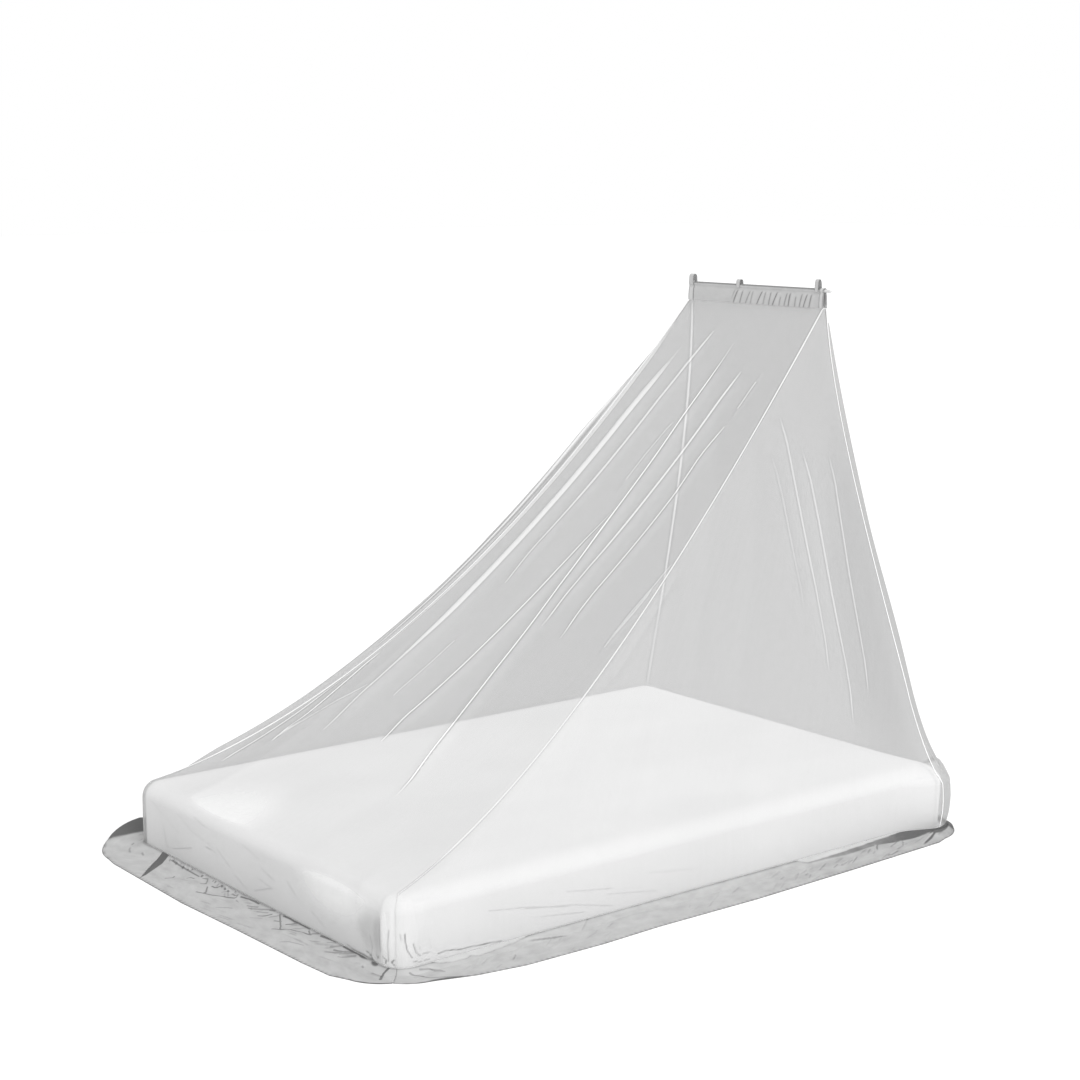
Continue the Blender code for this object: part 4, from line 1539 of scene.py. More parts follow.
    def build_binding(self, binding: Binding, finish: Material) -> Object:
        """Make the folded strip over one end of the sleeve.

        Args:
            binding: The strip.
            finish: Its material.

        Returns:
            The strip's object.
        """
        name, left, right = binding.name, binding.left, binding.right
        x = np.linspace(left, right, self.strip_stations)[:, None]
        points = shell(x, self.section(self.binding_offset), self.tent.sleeve_y)
        edge = np.minimum(x - left, right - x) + 0 * points[:1, :, 2]
        tones = {
            "dark": fading(edge, self.binding_edge, self.edge_softness) * self.binding_dark,
            "light": rising(edge, self.binding_middle, self.edge_softness) * self.binding_light,
        }
        piece = ClothGrid(name + "_strip", points, Facing.ACROSS_BY_DOWN, tones).build(finish)
        thicken(piece, self.binding_thickness)
        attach(piece, "root")
        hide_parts(name)
        return piece

    def build_tab(self, tab: Tab, finish: Material) -> Object:
        """Make one tape loop on top of the sleeve.

        Args:
            tab: The loop.
            finish: Its material.

        Returns:
            The loop's object.
        """
        radius = self.channel_radius + self.thickness / 2 + self.seat_gap + self.tab_thickness / 2
        if tab.over_binding:
            radius += self.binding_thickness + self.seat_gap
        top = self.rod_height + radius + tab.height
        front = np.array(
            (
                # y, z: a leg down each side of the sleeve, then in to the loop's round top
                (-radius, self.rod_height + radius - self.tab_leg),
                (-radius, self.rod_height),
                (-radius, self.rod_height + radius * 0.7),
                (-0.92 * radius, top - 0.65 * tab.height),
                (-0.80 * radius, top - 0.28 * tab.height),
                (-0.42 * radius, top - 0.06 * tab.height),
                (0.0, top),
            )
        )
        steps = np.linspace(0, len(front) - 1, self.loop_points)
        even = np.arange(len(front))
        fine = np.stack([np.interp(steps, even, front[:, axis]) for axis in (0, 1)], axis=1)
        section = np.concatenate((fine, fine[-2::-1] * (-1, 1)))
        x = np.linspace(tab.left, tab.right, self.strip_stations)[:, None]
        points = shell(x, section, self.tent.sleeve_y)
        edge = np.minimum(x - tab.left, tab.right - x) + 0 * points[:1, :, 2]
        dark = fading(edge, self.tab_edge, self.edge_softness) * self.tab_dark
        tones = {"dark": dark, "light": 0 * edge}
        piece = ClothGrid(tab.name + "_loop", points, Facing.ACROSS_BY_DOWN, tones).build(finish)
        thicken(piece, self.tab_thickness)
        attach(piece, "root")
        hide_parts(tab.name)
        return piece


# ================================================================ skirt
@dataclass(frozen=True)
class Lift:
    """A place where the skirt stands off the floor: along it, up, and its middle across."""

    middle: float
    half_length: float
    height: float
    across: float


@dataclass(frozen=True)
class Crease:
    """A crease in the skirt: where it starts and ends, along and across, its size and the shade painted
    along it.
    """

    along: Pair
    across: Pair
    height: float
    half_width: float
    dark: float = 0.5


@dataclass(frozen=True)
class Crumple:
    """A run of small creases: where it lies along and across, and what they are like."""

    along: Pair
    across: Pair
    count: int
    length: float
    lean: float
    dark: float
    length_spread: Pair = (0.4, 1.5)
    lean_spread: Pair = (0.5, 1.3)
    heights: Pair = (-0.0018, 0.0026)
    half_widths: Pair = (0.0025, 0.0045)
    dark_spread: Pair = (0.3, 1.0)

    def scatter(self, draw: random.Random) -> list[Crease]:
        """Scatter the creases.

        Args:
            draw: The seeded source of their places.

        Returns:
            The creases.
        """
        creases = []
        for _index in range(self.count):
            start = draw.uniform(*self.along)
            length = self.length * draw.uniform(*self.length_spread)
            share = draw.uniform(*self.across)
            lean = self.lean * draw.uniform(*self.lean_spread)
            height = draw.uniform(*self.heights)
            half_width = draw.uniform(*self.half_widths)
            dark = self.dark * draw.uniform(*self.dark_spread)
            along, across = (start, start + length), (share, share + lean * length)
            creases.append(Crease(along, across, height, half_width, dark))
        return creases


@dataclass(frozen=True)
class Shadow:
    """A painted shadow where the skirt turns under or folds: middle and half sizes, depth."""

    middle: Pair
    half_size: Pair
    dark: float


@dataclass(frozen=True)
class Stroke:
    """A thin pressed line in the skirt, painted dark as shade: its points along and across, and its
    depth.
    """

    run: Run
    dark: float


FOOT_STROKES = (
    # (metres after the corner at the foot's left, share across) ..., depth of the painted shade
    Stroke(((0.208, 0.06), (0.262, 0.08), (0.324, 0.09), (0.378, 0.10)), 0.7),
    Stroke(((0.309, 0.59), (0.318, 0.45), (0.311, 0.39)), 0.6),
    Stroke(((0.354, 0.28), (0.356, 0.21), (0.375, 0.20)), 0.6),
    Stroke(((0.401, 0.10), (0.419, 0.06), (0.432, 0.13), (0.437, 0.19)), 0.6),
    Stroke(((0.426, 0.26), (0.440, 0.18)), 0.6),
    Stroke(((0.459, 0.23), (0.491, 0.38), (0.492, 0.43)), 0.7),
    Stroke(((0.471, 0.52), (0.495, 0.42), (0.521, 0.34), (0.545, 0.25), (0.592, 0.15)), 0.75),
    Stroke(((0.468, 0.16), (0.483, 0.15), (0.491, 0.08)), 0.8),
    Stroke(((0.524, 0.16), (0.539, 0.09)), 0.3),
    Stroke(((0.562, 0.09), (0.581, 0.10), (0.587, 0.06), (0.593, 0.13)), 0.6),
    Stroke(((0.608, 0.19), (0.627, 0.23)), 0.4),
    Stroke(((0.612, 0.65), (0.630, 0.55), (0.653, 0.47)), 0.35),
    Stroke(((0.605, 0.07), (0.646, 0.04), (0.671, 0.03), (0.693, 0.03)), 0.85),
    Stroke(((0.666, 0.19), (0.701, 0.09)), 0.5),
    Stroke(((0.678, 0.22), (0.723, 0.09), (0.758, 0.02)), 0.5),
    Stroke(((0.718, 0.19), (0.755, 0.10)), 0.4),
    Stroke(((0.742, 0.27), (0.761, 0.18), (0.773, 0.09)), 0.7),
    Stroke(((0.738, 0.44), (0.765, 0.28)), 0.3),
    Stroke(((0.752, 0.04), (0.772, 0.01)), 0.7),
    Stroke(((0.801, 0.03), (0.820, 0.11), (0.852, 0.25), (0.869, 0.35)), 0.7),
    Stroke(((0.851, 0.45), (0.872, 0.36), (0.894, 0.23), (0.933, 0.18), (0.971, 0.10)), 0.75),
    Stroke(((0.807, 0.19), (0.831, 0.14)), 0.5),
    Stroke(((0.819, 0.02), (0.849, 0.01), (0.875, 0.02), (0.912, 0.01), (0.947, 0.01)), 0.9),
    Stroke(((0.857, 0.15), (0.874, 0.08), (0.891, 0.02), (0.914, 0.01)), 0.7),
    Stroke(((0.951, 0.05), (0.966, 0.10)), 0.7),
    Stroke(((0.970, 0.07), (0.992, 0.01)), 0.5),
    Stroke(((0.946, 0.71), (0.962, 0.60), (1.005, 0.46)), 0.35),
    Stroke(((1.005, 0.03), (1.036, 0.01), (1.061, 0.00), (1.072, 0.00)), 0.85),
    Stroke(((1.048, 0.09), (1.078, 0.03)), 0.5),
    Stroke(((1.070, 0.13), (1.103, 0.01)), 0.4),
    Stroke(((1.079, 0.31), (1.128, 0.08)), 0.5),
    Stroke(((1.091, 0.15), (1.172, 0.01)), 0.6),
    Stroke(((1.122, 0.17), (1.179, 0.02)), 0.5),
    Stroke(((1.130, 0.26), (1.179, 0.07)), 0.4),
    Stroke(((1.110, 0.01), (1.144, 0.01), (1.190, 0.01)), 0.9),
    Stroke(((1.305, 0.01), (1.300, 0.08), (1.298, 0.18), (1.304, 0.60)), 0.9),
    Stroke(((1.353, 0.13), (1.368, 0.35), (1.380, 0.68), (1.414, 0.80), (1.443, 0.97)), 0.5),
    Stroke(((1.379, 0.09), (1.407, 0.14), (1.434, 0.42)), 0.4),
)


HEM_STRIP = (
    # metres along the outline, share that the net's hem covers, share shadowed below it
    (0.075, -0.05, 0.00), (0.095, 0.01, 0.01), (0.145, 0.09, 0.01), (0.190, 0.12, 0.01),
    (0.209, 0.08, 0.01), (0.236, 0.12, 0.01), (0.302, 0.09, 0.01), (0.409, 0.00, 0.01),
    (0.450, -0.05, 0.00), (1.360, -0.05, 0.00), (1.420, 0.11, 0.02), (1.500, 0.10, 0.06),
    (1.600, 0.08, 0.13), (1.700, 0.05, 0.18), (1.800, 0.02, 0.26), (1.880, -0.02, 0.34),
    (1.950, -0.05, 0.40), (2.000, -0.05, 0.00),
)
# metres along the outline, how dark the shadow below the net's hem is
SHADE_BELOW_HEM = ((0.5, 0.5), (1.4, 0.35), (1.7, 0.50), (1.9, 0.95))
SHADE_ALONG = (
    # metres along the outline, how much darker the whole skirt is
    (0.2, -0.06), (0.9, -0.06), (1.3, 0.06), (1.9, 0.14), (1.95, 0.32), (2.02, 0.32), (2.08, 0.0),
)
# share out from the mattress, width in metres of the shadow beside the slit
WEDGE_WIDTHS = ((0.0, 0.040), (0.2, 0.038), (0.4, 0.032), (0.6, 0.024), (0.8, 0.015), (0.94, 0.0))


@dataclass
class Skirt:
    """The woven skirt: four strips from the net's hem out over the floor."""

    tent: NetTent
    bed: Bed = BED
    thickness: float = 0.0012
    top: float = 0.0182
    rest: float = 0.0008
    joint: float = 0.0006
    pitch: float = 0.003
    rows: int = 44
    row_crowding: float = 1.25
    seed: int = 7
    fold_after_foot: float = 0.138
    slant: float = 0.130
    slant_power: float = 1.3
    slant_before: float = 0.090
    slant_after: float = 0.400
    gape_power: float = 0.7
    lift_power: float = 1.6
    lift_draws_in: float = 0.35
    lying_height: float = 0.003
    crease_end: float = 0.25
    crease_line: Pair = (0.0046, 0.0036)
    crease_highlight: float = 0.35
    crease_highlight_width: float = 0.6
    shadow_reach: float = 1.5
    stroke_reach: float = 0.012
    edges_flat: float = 0.06
    ragged_along: Run = ((0.4, 1.0), (1.3, 0.3))
    ragged_waves: tuple[Triple, ...] = (
        # height as a share, metres to the radian, start
        (0.007, 0.0173, 0.0),
        (0.005, 0.0061, 1.0),
    )
    # painted shade where the skirt stands off the floor, past a share out
    lifted_shade_from: Pair = (0.011, 0.004)
    lifted_shade_share: float = 0.1
    tick_pitch: float = 0.0175
    hem_edge: Pair = (0.97, 0.02)
    hem_edge_dark: float = 0.4
    tick_edge: Pair = (0.92, 0.03)
    tick_dark: float = 0.35
    seam_shade: Pair = (0.05, 0.04)
    seam_dark: float = 0.35
    wedge_from: Pair = (-0.001, 0.002)
    wedge_softness: float = 0.003
    wedge_dark: float = 1.2
    lap_softness: float = 0.02
    lapped_light: float = 0.22
    under_softness: Pair = (0.01, 0.05)
    under_spare: float = 0.6
    darkest: float = 1.3
    flat_width: float = 0.13
    flat_spare: float = 0.1
    section: Run = ((0.0, 1.0), (0.09, 0.52), (0.22, 0.12), (0.45, 0.0), (1.0, 0.0))

    @property
    def fold_at(self) -> float:
        """Distance along the outline where the left strip ends in a folded edge."""
        return self.bed.leg_start(FOOT) + self.fold_after_foot

    def widths(self) -> Run:
        """Measure the skirt.

        Returns:
            Distances along the outline and the skirt's width at each.
        """
        head, left, foot = (self.bed.leg_start(leg) for leg in (HEAD, LEFT, FOOT))
        return (
            (0.000, 0.057), (0.068, 0.078), (0.162, 0.109), (0.300, 0.132), (0.550, 0.138),
            (0.750, 0.131), (1.100, 0.136), (1.490, 0.126), (1.880, 0.111), (head - 0.02, 0.086),
            (head, 0.080), (head + 0.25, 0.105), (head + 0.95, 0.120),
            (left, 0.095), (left + 0.70, 0.115), (left + 1.50, 0.125), (foot - 0.05, 0.145),
            (foot, 0.128), (foot + 0.10, 0.144), (foot + 0.52, 0.151), (foot + 0.79, 0.138),
            (foot + 1.10, 0.128), (foot + 1.22, 0.119), (foot + 1.28, 0.093),
            (sum(self.bed.legs()), 0.057),
        )

    def lifts(self) -> tuple[Lift, ...]:
        """List the places where the skirt stands off the floor.

        Returns:
            The places.
        """
        head, left, foot = (self.bed.leg_start(leg) for leg in (HEAD, LEFT, FOOT))
        return (
            # middle along, half length, height, middle across
            Lift(foot - 0.055, 0.085, 0.038, 1.0),
            Lift(head - 0.050, 0.100, 0.016, 0.45),
            Lift(head - 0.300, 0.120, 0.008, 0.40),
            Lift(foot + 0.420, 0.100, 0.007, 0.40),
            Lift(foot + 0.640, 0.070, 0.006, 0.35),
            Lift(foot + 0.930, 0.110, 0.007, 0.40),
            Lift(head - 1.250, 0.120, 0.006, 0.35),
            Lift(left + 0.900, 0.140, 0.007, 0.40),
            Lift(head + 0.600, 0.150, 0.008, 0.40),
        )

    def creases(self) -> tuple[Crease, ...]:
        """List the single creases pressed into the skirt.

        Returns:
            The creases.
        """
        foot = self.bed.leg_start(FOOT)
        return (
            # along from and to, across from and to, height, half width, dark of the painted shade
            Crease((foot + 0.462, foot + 0.495), (0.24, 0.42), 0.002, 0.004, 0.0),
            Crease((foot + 0.878, foot + 0.960), (0.38, 0.14), 0.003, 0.006, 0.2),
            Crease((foot + 1.010, foot + 1.090), (0.24, 0.02), 0.004, 0.007, 0.2),
            Crease((foot + 1.120, foot + 1.200), (0.17, 0.01), 0.004, 0.007, 0.2),
            Crease((0.285, 0.325), (0.66, 0.38), 0.002, 0.006, 0.4),
            Crease((0.380, 0.520), (0.08, 0.26), 0.002, 0.005, 0.5),
            Crease((1.820, 1.935), (0.85, 0.42), 0.004, 0.006, 0.9),
            Crease((1.660, 1.700), (0.50, 0.20), 0.003, 0.007, 0.5),
            Crease((1.760, 1.800), (0.60, 0.28), 0.003, 0.007, 0.5),
        )

    def crumples(self) -> tuple[Crumple, ...]:
        """List the runs of small creases, close along the seam at the foot.

        Returns:
            The runs.
        """
        head, left, foot = (self.bed.leg_start(leg) for leg in (HEAD, LEFT, FOOT))
        return (
            # along, across, count, length, lean in shares a metre, dark of the painted shade
            Crumple((foot - 0.12, foot + 0.11), (0.05, 0.60), 10, 0.030, 3.0, 0.5),
            Crumple((foot + 0.17, foot + 0.58), (0.01, 0.07), 22, 0.012, 2.0, 0.8),
            Crumple((foot + 0.40, foot + 0.70), (0.02, 0.16), 6, 0.020, 4.0, 0.4),
            Crumple((foot + 0.60, foot + 0.98), (0.14, 0.24), 6, 0.034, -4.0, 0.3),
            Crumple((foot + 0.98, foot + 1.20), (0.16, 0.28), 5, 0.050, -3.4, 0.3),
            Crumple((foot + 0.24, foot + 1.20), (0.35, 0.90), 18, 0.080, -1.2, 0.25),
            Crumple((foot + 1.20, foot + 1.29), (0.05, 0.45), 3, 0.030, 3.0, 0.5),
            Crumple((0.02, 0.14), (0.05, 0.50), 4, 0.040, 3.5, 0.4),
            Crumple((0.14, 1.44), (0.25, 0.95), 46, 0.050, -4.5, 0.22),
            Crumple((1.40, 1.94), (0.30, 0.90), 22, 0.050, -3.5, 0.40),
            Crumple((head + 0.04, left), (0.06, 0.80), 24, 0.080, 0.8, 0.35),
            Crumple((left, foot - 0.12), (0.06, 0.80), 34, 0.090, 0.8, 0.35),
        )

    def shadows(self) -> tuple[Shadow, ...]:
        """List the painted shadows, where the skirt turns under or the net's edge gapes over it.

        Returns:
            The places.
        """
        head, foot = self.bed.leg_start(HEAD), self.bed.leg_start(FOOT)
        return (
            # middle along and across, half sizes, depth
            Shadow((0.085, 0.99), (0.050, 0.13), 0.7),
            Shadow((foot + 1.305, 0.99), (0.030, 0.06), 0.5),
            Shadow((foot + 1.178, 0.02), (0.036, 0.022), 0.9),
            Shadow((foot + 1.256, 0.03), (0.013, 0.040), 0.9),
            Shadow((head - 0.010, 0.18), (0.045, 0.26), 1.2),
            Shadow((head + 0.010, 0.70), (0.016, 0.60), 1.2),
        )

    def hem_strip(self, distance: Array) -> tuple[Array, Array]:
        """The net's doubled hem, which laps over the top of the skirt along the right side.

        Args:
            distance: Along the outline.

        Returns:
            The share of the skirt that it covers, and how far a shadow lies below it.
        """
        ragged = sum(
            height * np.sin(distance / length + start) for height, length, start in self.ragged_waves
        )
        ragged = ragged * along_table(distance, self.ragged_along)
        covered = along_table(distance, HEM_STRIP) + ragged
        return covered, along_table(distance, HEM_STRIP, 2)

    def slide(self, distance: Array, share: Array) -> Array:
        """How far the slant of the slit draws each place along the outline.

        Args:
            distance: Along the outline.
            share: Share of the way out from the mattress.

        Returns:
            Metres along the outline.
        """
        away = distance - self.fold_at
        length = np.where(away < 0, self.slant_before, self.slant_after)
        drawn = self.slant * share**self.slant_power
        return drawn * np.clip(1 - np.abs(away) / length, 0.0, 1.0)

    def rise(self, distance: Array, share: Array) -> Array:
        """How far the lifts raise each place off the plain section.

        Args:
            distance: Along the outline.
            share: Share of the way out from the mattress.

        Returns:
            Metres upwards.
        """
        total = np.zeros_like(distance + share)
        for lift in self.lifts():
            along = smooth(1 - np.abs(distance - lift.middle) / lift.half_length)
            if lift.across >= 1:
                spread = share**self.lift_power
            else:
                spread = smooth(1 - np.abs(share - lift.across) / lift.across)
            total += lift.height * along * spread
        return total

    def crease_fields(self, distance: Array, share: Array, width: Array) -> tuple[Array, Array, Array]:
        """Relief of the creases, and how dark and how light each place is.

        Args:
            distance: Along the outline.
            share: Share of the way out from the mattress.
            width: The skirt's width there.

        Returns:
            The height in metres, the painted shade and the painted highlight.
        """
        relief = np.zeros_like(distance + share)
        dark = np.zeros_like(relief)
        light = np.zeros_like(relief)
        draw = random.Random(self.seed)
        small = [crease for crumple in self.crumples() for crease in crumple.scatter(draw)]
        for crease in [*self.creases(), *small]:
            run = (distance - crease.along[0]) / (crease.along[1] - crease.along[0])
            centre = crease.across[0] + (crease.across[1] - crease.across[0]) * np.clip(run, 0, 1)
            away = (share - centre) * width
            fade = smooth(np.minimum(run, 1 - run) / self.crease_end)
            relief += crease.height * fade * np.exp(-((away / crease.half_width) ** 2))
            # painted shade along the crease
            line = fading(np.abs(away - 0.5 * crease.half_width), *self.crease_line)
            dark = np.maximum(dark, crease.dark * fade * line)
            # painted highlight along one side of the crease
            highlight_width = self.crease_highlight_width * crease.half_width
            line = np.exp(-(((away + crease.half_width) / highlight_width) ** 2))
            light = np.maximum(light, self.crease_highlight * crease.dark * fade * line)
        for shadow in self.shadows():
            (along, across), (half_along, half_across) = shadow.middle, shadow.half_size
            apart = np.hypot((distance - along) / half_along, (share - across) / half_across)
            dark = np.maximum(dark, shadow.dark * smooth(self.shadow_reach - apart))
        return relief, dark, light

    def stroke_fields(self, distance: Array, share: Array) -> dict[str, Array]:
        """Thin pressed lines, painted dark as shade.

        Args:
            distance: Along the outline.
            share: Share of the way out from the mattress.

        Returns:
            Distance from the nearest line, and its strength.
        """
        table = self.widths()
        round_trip = table[-1][0]
        foot = self.bed.leg_start(FOOT)
        across = share * along_table(distance, table)
        offset = np.full(across.shape, FAR)
        strength = np.zeros_like(offset)
        turn = round_trip if distance.min() < self.joint else 0.0
        for stroke in FOOT_STROKES:
            places = [(foot + after - turn, out) for after, out in stroke.run]
            run = tuple((at, out * float(along_table(at % round_trip, table))) for at, out in places)
            away = from_run(distance, across, run)
            nearer = (away < offset) & (away < self.stroke_reach)
            offset = np.where(nearer, away, offset)
            strength = np.where(nearer, stroke.dark, strength)
        return {"line_offset": offset, "line_strength": strength}

    def places(self, distance: Array, reach: Array, height: Array) -> Array:
        """Points of a strip.

        Args:
            distance: Along the outline.
            reach: Metres out from it.
            height: Metres off the floor.

        Returns:
            The points, along by out.
        """
        points = np.empty((*distance.shape, 3))
        for column, row in np.ndindex(distance.shape):
            core, facing = self.bed.outline(float(distance[column, row]))
            point = core + facing * (self.bed.corner + reach[column, row])
            points[column, row] = (point.x, point.y, height[column, row])
        return points

    def shades(
        self, distance: Array, shares: Array, rise: Array, after_slit: bool
    ) -> tuple[Array, Array, Array]:
        """How dark a strip is but for its creases, and what hides or lights it.

        Args:
            distance: Along the outline.
            shares: Share of the way out from the mattress.
            rise: How far it stands off its plain section.
            after_slit: Whether it starts at the slit, under the folded edge's shadow.

        Returns:
            The painted shade with the hem's darker stitched edge, the share that shows its creases'
            painted highlights, and the share that the net's hem covers.
        """
        # painted shade where the skirt stands off the floor
        lifted_shade = rising(rise, *self.lifted_shade_from) * (shares > self.lifted_shade_share)
        ticks = 0.5 + 0.5 * np.cos(distance * 2 * math.pi / self.tick_pitch)
        hem = rising(shares, *self.hem_edge) * self.hem_edge_dark
        hem = hem + rising(shares, *self.tick_edge) * self.tick_dark * ticks
        # painted shade beside the seam
        beside = fading(shares, *self.seam_shade) * self.seam_dark
        # painted shadow beside the slit
        after = distance - self.fold_at - self.slant * shares**self.slant_power
        wedge = fading(after, along_table(shares, WEDGE_WIDTHS), self.wedge_softness)
        wedge = wedge * rising(after, *self.wedge_from) * after_slit * self.wedge_dark
        covered, shadow = self.hem_strip(distance)
        lapped = fading(shares, covered, self.lap_softness)
        # painted shadow below the net's hem
        upper, lower = self.under_softness
        under = smooth((covered + shadow - shares) / lower + self.under_spare)
        under = rising(shares, covered, upper) * under * (shadow > 0.0)
        under = under * along_table(distance, SHADE_BELOW_HEM)
        shade = along_table(distance, SHADE_ALONG)
        return shade + lifted_shade + hem + beside + wedge + under, (1 - wedge) * (1 - lifted_shade), lapped

    def build(self, name: str, span: Pair, gape: Pair, finish: Material) -> Object:
        """Make one strip.

        Args:
            name: Its name, which is its solid's.
            span: Where it starts and ends along the outline.
            gape: How far each end draws back at half its width.
            finish: Its material.

        Returns:
            The strip.
        """
        start, end = span
        count = int((end - start) / self.pitch)
        shares = (np.linspace(0.0, 1.0, self.rows) ** self.row_crowding)[None, :]
        opening = np.sin(math.pi * shares**self.gape_power)
        first = start + self.joint / 2 + gape[0] * opening
        last = end - self.joint / 2 - gape[1] * opening
        distance = np.clip(np.linspace(start, end, count)[:, None], first, last)
        distance = distance + self.slide(distance, shares)
        width = along_table(distance, self.widths())
        rise = self.rise(distance, shares)
        relief, dark, light = self.crease_fields(distance, shares, width)
        inner = self.tent.clearance + self.tent.stand_off(distance, self.tent.last_level)
        reach = inner + shares * (width - inner) - self.lift_draws_in * rise
        height = self.rest + along_table(shares, self.section) * (self.top - self.rest) + rise
        lying = smooth((height - self.rest) / self.lying_height)
        relief = np.maximum(relief, relief * lying)
        height = height + relief * smooth(shares / self.edges_flat) * fading(shares, 1, self.edges_flat)
        shade, lit, lapped = self.shades(distance, shares, rise, start == self.fold_at)
        fields = {
            **self.stroke_fields(distance, shares),
            "dark": np.clip(dark + shade, 0.0, self.darkest) * (1 - lapped),
            "light": np.clip(light * lit + self.lapped_light * lapped, 0.0, 1.0),
        }
        points = self.places(distance, reach, height)
        piece = ClothGrid(name + "_cloth", points, tones=fields).build(finish)
        thicken(piece, self.thickness)
        flat = (self.flat_width, end - start + self.flat_spare)
        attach(piece, "root")
        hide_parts(name)
        return piece


# ================================================================ mattress
@dataclass
class Mattress:
    """A foam mattress in a plain cotton cover, crowned and lightly wrinkled."""

    bed: Bed = BED
    crown: float = 0.004
    crown_flatness: int = 6
    corner_steps: int = 12
    edge_steps: int = 8
    foot_steps: int = 3
    pitch: float = 0.04
    level_with: float = 1e-4
    bulge: float = 0.051
    bulge_up: Run = (
        # height, share of the bulge
        (0.0, 0.5), (0.04, 0.9), (0.09, 1.0), (0.14, 0.85), (0.175, 0.6), (0.2, 0.4),
    )

    def build(self, finish: Material) -> Object:
        """Make the mattress.

        Args:
            finish: Its material.

        Returns:
            Its object.
        """
        bed = self.bed
        bm = bmesh.new()
        bmesh.ops.create_cube(bm, size=1.0)
        for vert in bm.verts:
            vert.co = Vector(
                (vert.co.x * bed.width, vert.co.y * bed.length, (vert.co.z + 0.5) * bed.height)
            )
        upright = [e for e in bm.edges if abs(e.verts[0].co.z - e.verts[1].co.z) > bed.height / 2]
        self.round(bm, upright, bed.corner, self.corner_steps)
        self.round(bm, self.rim(bm, bed.height), bed.edge, self.edge_steps)
        self.round(bm, self.rim(bm, 0.0), bed.foot_edge, self.foot_steps)
        for axis, half in ((0, bed.width / 2), (1, bed.length / 2)):
            for step in range(1, int(2 * half / self.pitch)):
                place, normal = Vector(grey(0.0)), Vector(grey(0.0))
                place[axis] = -half + step * self.pitch
                normal[axis] = 1.0
                parts = [*bm.verts, *bm.edges, *bm.faces]
                bmesh.ops.bisect_plane(bm, geom=parts, plane_co=place, plane_no=normal, dist=SAME)
        for vert in bm.verts:
            across, along = vert.co.x / (bed.width / 2), vert.co.y / (bed.length / 2)
            if vert.co.z > bed.height - self.level_with:
                flatness = self.crown_flatness
                vert.co.z += self.crown * (1 - abs(across) ** flatness) * (1 - abs(along) ** flatness)
            vert.co += self.corner_bulge(vert.co)
        mesh = finished("mattress", bm)
        mesh.shade_smooth()
        piece = add_piece("mattress_cover", mesh, finish)
        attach(piece, "root")
        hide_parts("mattress")
        return piece

    def corner_bulge(self, place: Vector) -> Vector:
        """Swell the corner at the head's right side.

        Args:
            place: A point of the mattress.

        Returns:
            How far the point moves.
        """
        core_x, core_y = self.bed.core
        beyond_x, beyond_y = place.x - core_x, place.y - core_y
        if beyond_x > 0 and beyond_y > 0:
            along = (math.atan2(beyond_y, beyond_x) - math.pi / 4) * self.bed.corner
        else:
            along = beyond_y - self.bed.half_arc if beyond_x > 0 else self.bed.half_arc - beyond_x
        reach = float(along_table(place.z, self.bulge_up))
        near = float(smooth(1 - abs(along - STAND_OFFS[0].after) / STAND_OFFS[0].half_length))
        outwards = Vector((max(beyond_x, 0.0), max(beyond_y, 0.0), 0.0)) / self.bed.corner
        return outwards * self.bulge * reach * near

    @staticmethod
    def rim(bm: bmesh.types.BMesh, height: float) -> list[bmesh.types.BMEdge]:
        """Edges that lie at a height."""
        return [e for e in bm.edges if all(abs(v.co.z - height) < SAME for v in e.verts)]

    @staticmethod
    def round(bm: bmesh.types.BMesh, edges: list[bmesh.types.BMEdge], radius: float, steps: int) -> None:
        """Round some edges."""
        bmesh.ops.bevel(
            bm, geom=edges, offset=radius, offset_type="OFFSET", segments=steps,
            profile=0.5, affect="EDGES", material=-1,
        )


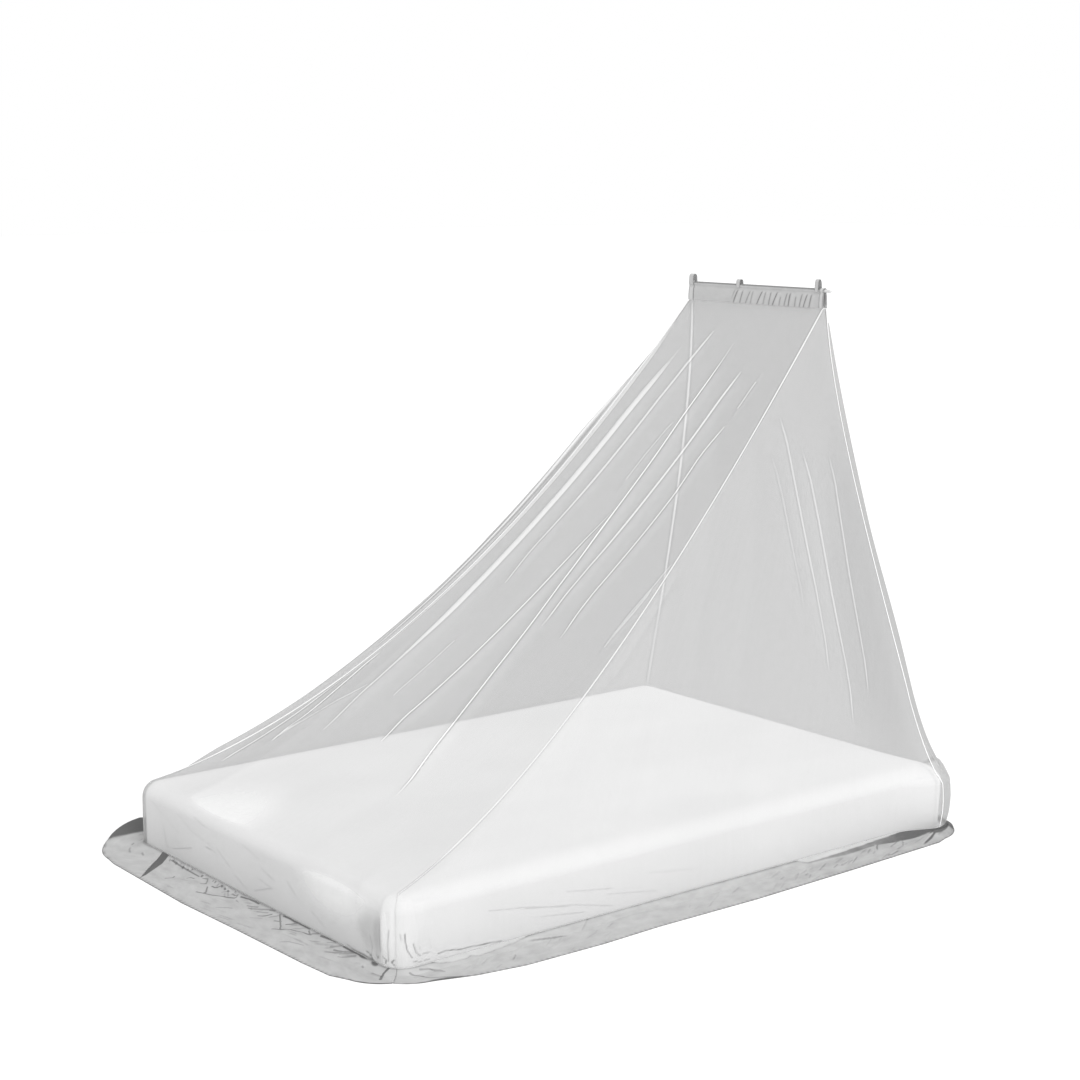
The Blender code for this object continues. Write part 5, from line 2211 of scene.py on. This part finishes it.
# ================================================================ studio
@dataclass
class Studio:
    """Plain pale floor, soft light, and the camera at the photograph's angle."""

    azimuth: float = 51.84
    elevation: float = 9.84
    position: Triple = (4.801, -3.784, 1.969)
    lens: float = 70.03
    sensor: float = 36.0
    far_end: float = 200.0
    floor: float = 60.0
    world: float = 1.0
    key: float = 2.05
    key_spread: float = 35.0
    key_from: Triple = (1.25, -0.15, 1.0)
    fill: float = 0.35
    fill_spread: float = 60.0
    fill_from: Triple = (0.2, -1.0, 0.5)

    def build(self) -> None:
        """Make floor, world, lights and camera."""
        scene = bpy.context.scene
        scene.view_settings.view_transform = "Standard"
        bm = bmesh.new()
        bmesh.ops.create_grid(bm, x_segments=1, y_segments=1, size=self.floor)
        floor = add_piece("floor", finished("floor", bm), StudioWhite().make())
        world = bpy.data.worlds.new("studio")
        world.use_nodes = True
        background = world.node_tree.nodes["Background"]
        background.inputs["Color"].default_value = (1.0, 1.0, 1.0, 1.0)
        background.inputs["Strength"].default_value = self.world
        scene.world = world
        self.sun("key", self.key, self.key_spread, self.key_from)
        self.sun("fill", self.fill, self.fill_spread, self.fill_from)
        lens = bpy.data.cameras.new("camera")
        lens.lens = self.lens
        lens.sensor_width = self.sensor
        lens.clip_end = self.far_end
        camera = bpy.data.objects.new("camera", lens)
        a, e = math.radians(self.azimuth), math.radians(self.elevation)
        back = Vector((math.sin(a) * math.cos(e), -math.cos(a) * math.cos(e), math.sin(e)))
        camera.location = self.position
        camera.rotation_mode = "QUATERNION"
        camera.rotation_quaternion = (-back).to_track_quat("-Z", "Y")
        scene.collection.objects.link(camera)
        scene.camera = camera

    @staticmethod
    def sun(name: str, energy: float, spread: float, towards: Triple) -> None:
        """Add one wide sun.

        Args:
            name: Its name.
            energy: Watts to the square metre.
            spread: Its angle in degrees, which softens its shadows.
            towards: The direction in which it stands.
        """
        light = bpy.data.lights.new(name, "SUN")
        light.energy = energy
        light.angle = math.radians(spread)
        lamp = bpy.data.objects.new(name, light)
        lamp.rotation_mode = "QUATERNION"
        lamp.rotation_quaternion = Vector(towards).to_track_quat("Z", "Y")
        bpy.context.scene.collection.objects.link(lamp)


def main() -> None:
    """Build every piece in order."""
    net = FineNet().make()
    tape = WovenCloth("seam_tape", grey(0.60), grey(0.36), grey(0.95), mottle=0.2).make()
    band = WovenCloth("header_cloth", grey(0.465), grey(0.19), grey(0.62), mottle=0.35).make()
    woven = WovenCloth("skirt_cloth", grey(0.42), grey(0.09), grey(0.62)).make()
    Studio().build()
    LOG.info("built %s", Mattress().build(CottonCover().make()).name)
    tent = NetTent()
    for panel in PANELS:
        LOG.info("built %s", tent.build_panel(panel, net).name)
    seams = BoundSeams(tent)
    for corner in range(len(CORNERS)):
        LOG.info("built %s", seams.build(corner, tape).name)
    header = Header(tent)
    LOG.info("built %s", header.build_sleeve(band).name)
    for binding in header.bindings:
        LOG.info("built %s", header.build_binding(binding, band).name)
    for tab in header.tabs:
        LOG.info("built %s", header.build_tab(tab, band).name)
    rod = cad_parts["spreader_rod"]
    rod.data.materials.clear()
    rod.data.materials.append(MouldedPlastic().make())
    LOG.info("dressed %s", rod.name)
    skirt = Skirt(tent)
    head, left, slit = BED.leg_start(HEAD), BED.leg_start(LEFT), skirt.fold_at
    strips = (
        # name, run along the outline, how far each end draws back
        ("skirt_right", (0.0, head), (0.0, 0.0)),
        ("skirt_head", (head, left), (0.0, 0.0)),
        ("skirt_left", (left, slit), (0.0, 0.001)),
        ("skirt_foot", (slit, sum(BED.legs())), (0.0, 0.0)),
    )
    for name, span, gape in strips:
        LOG.info("built %s", skirt.build(name, span, gape, woven).name)


if __name__ == "__main__":
    main()
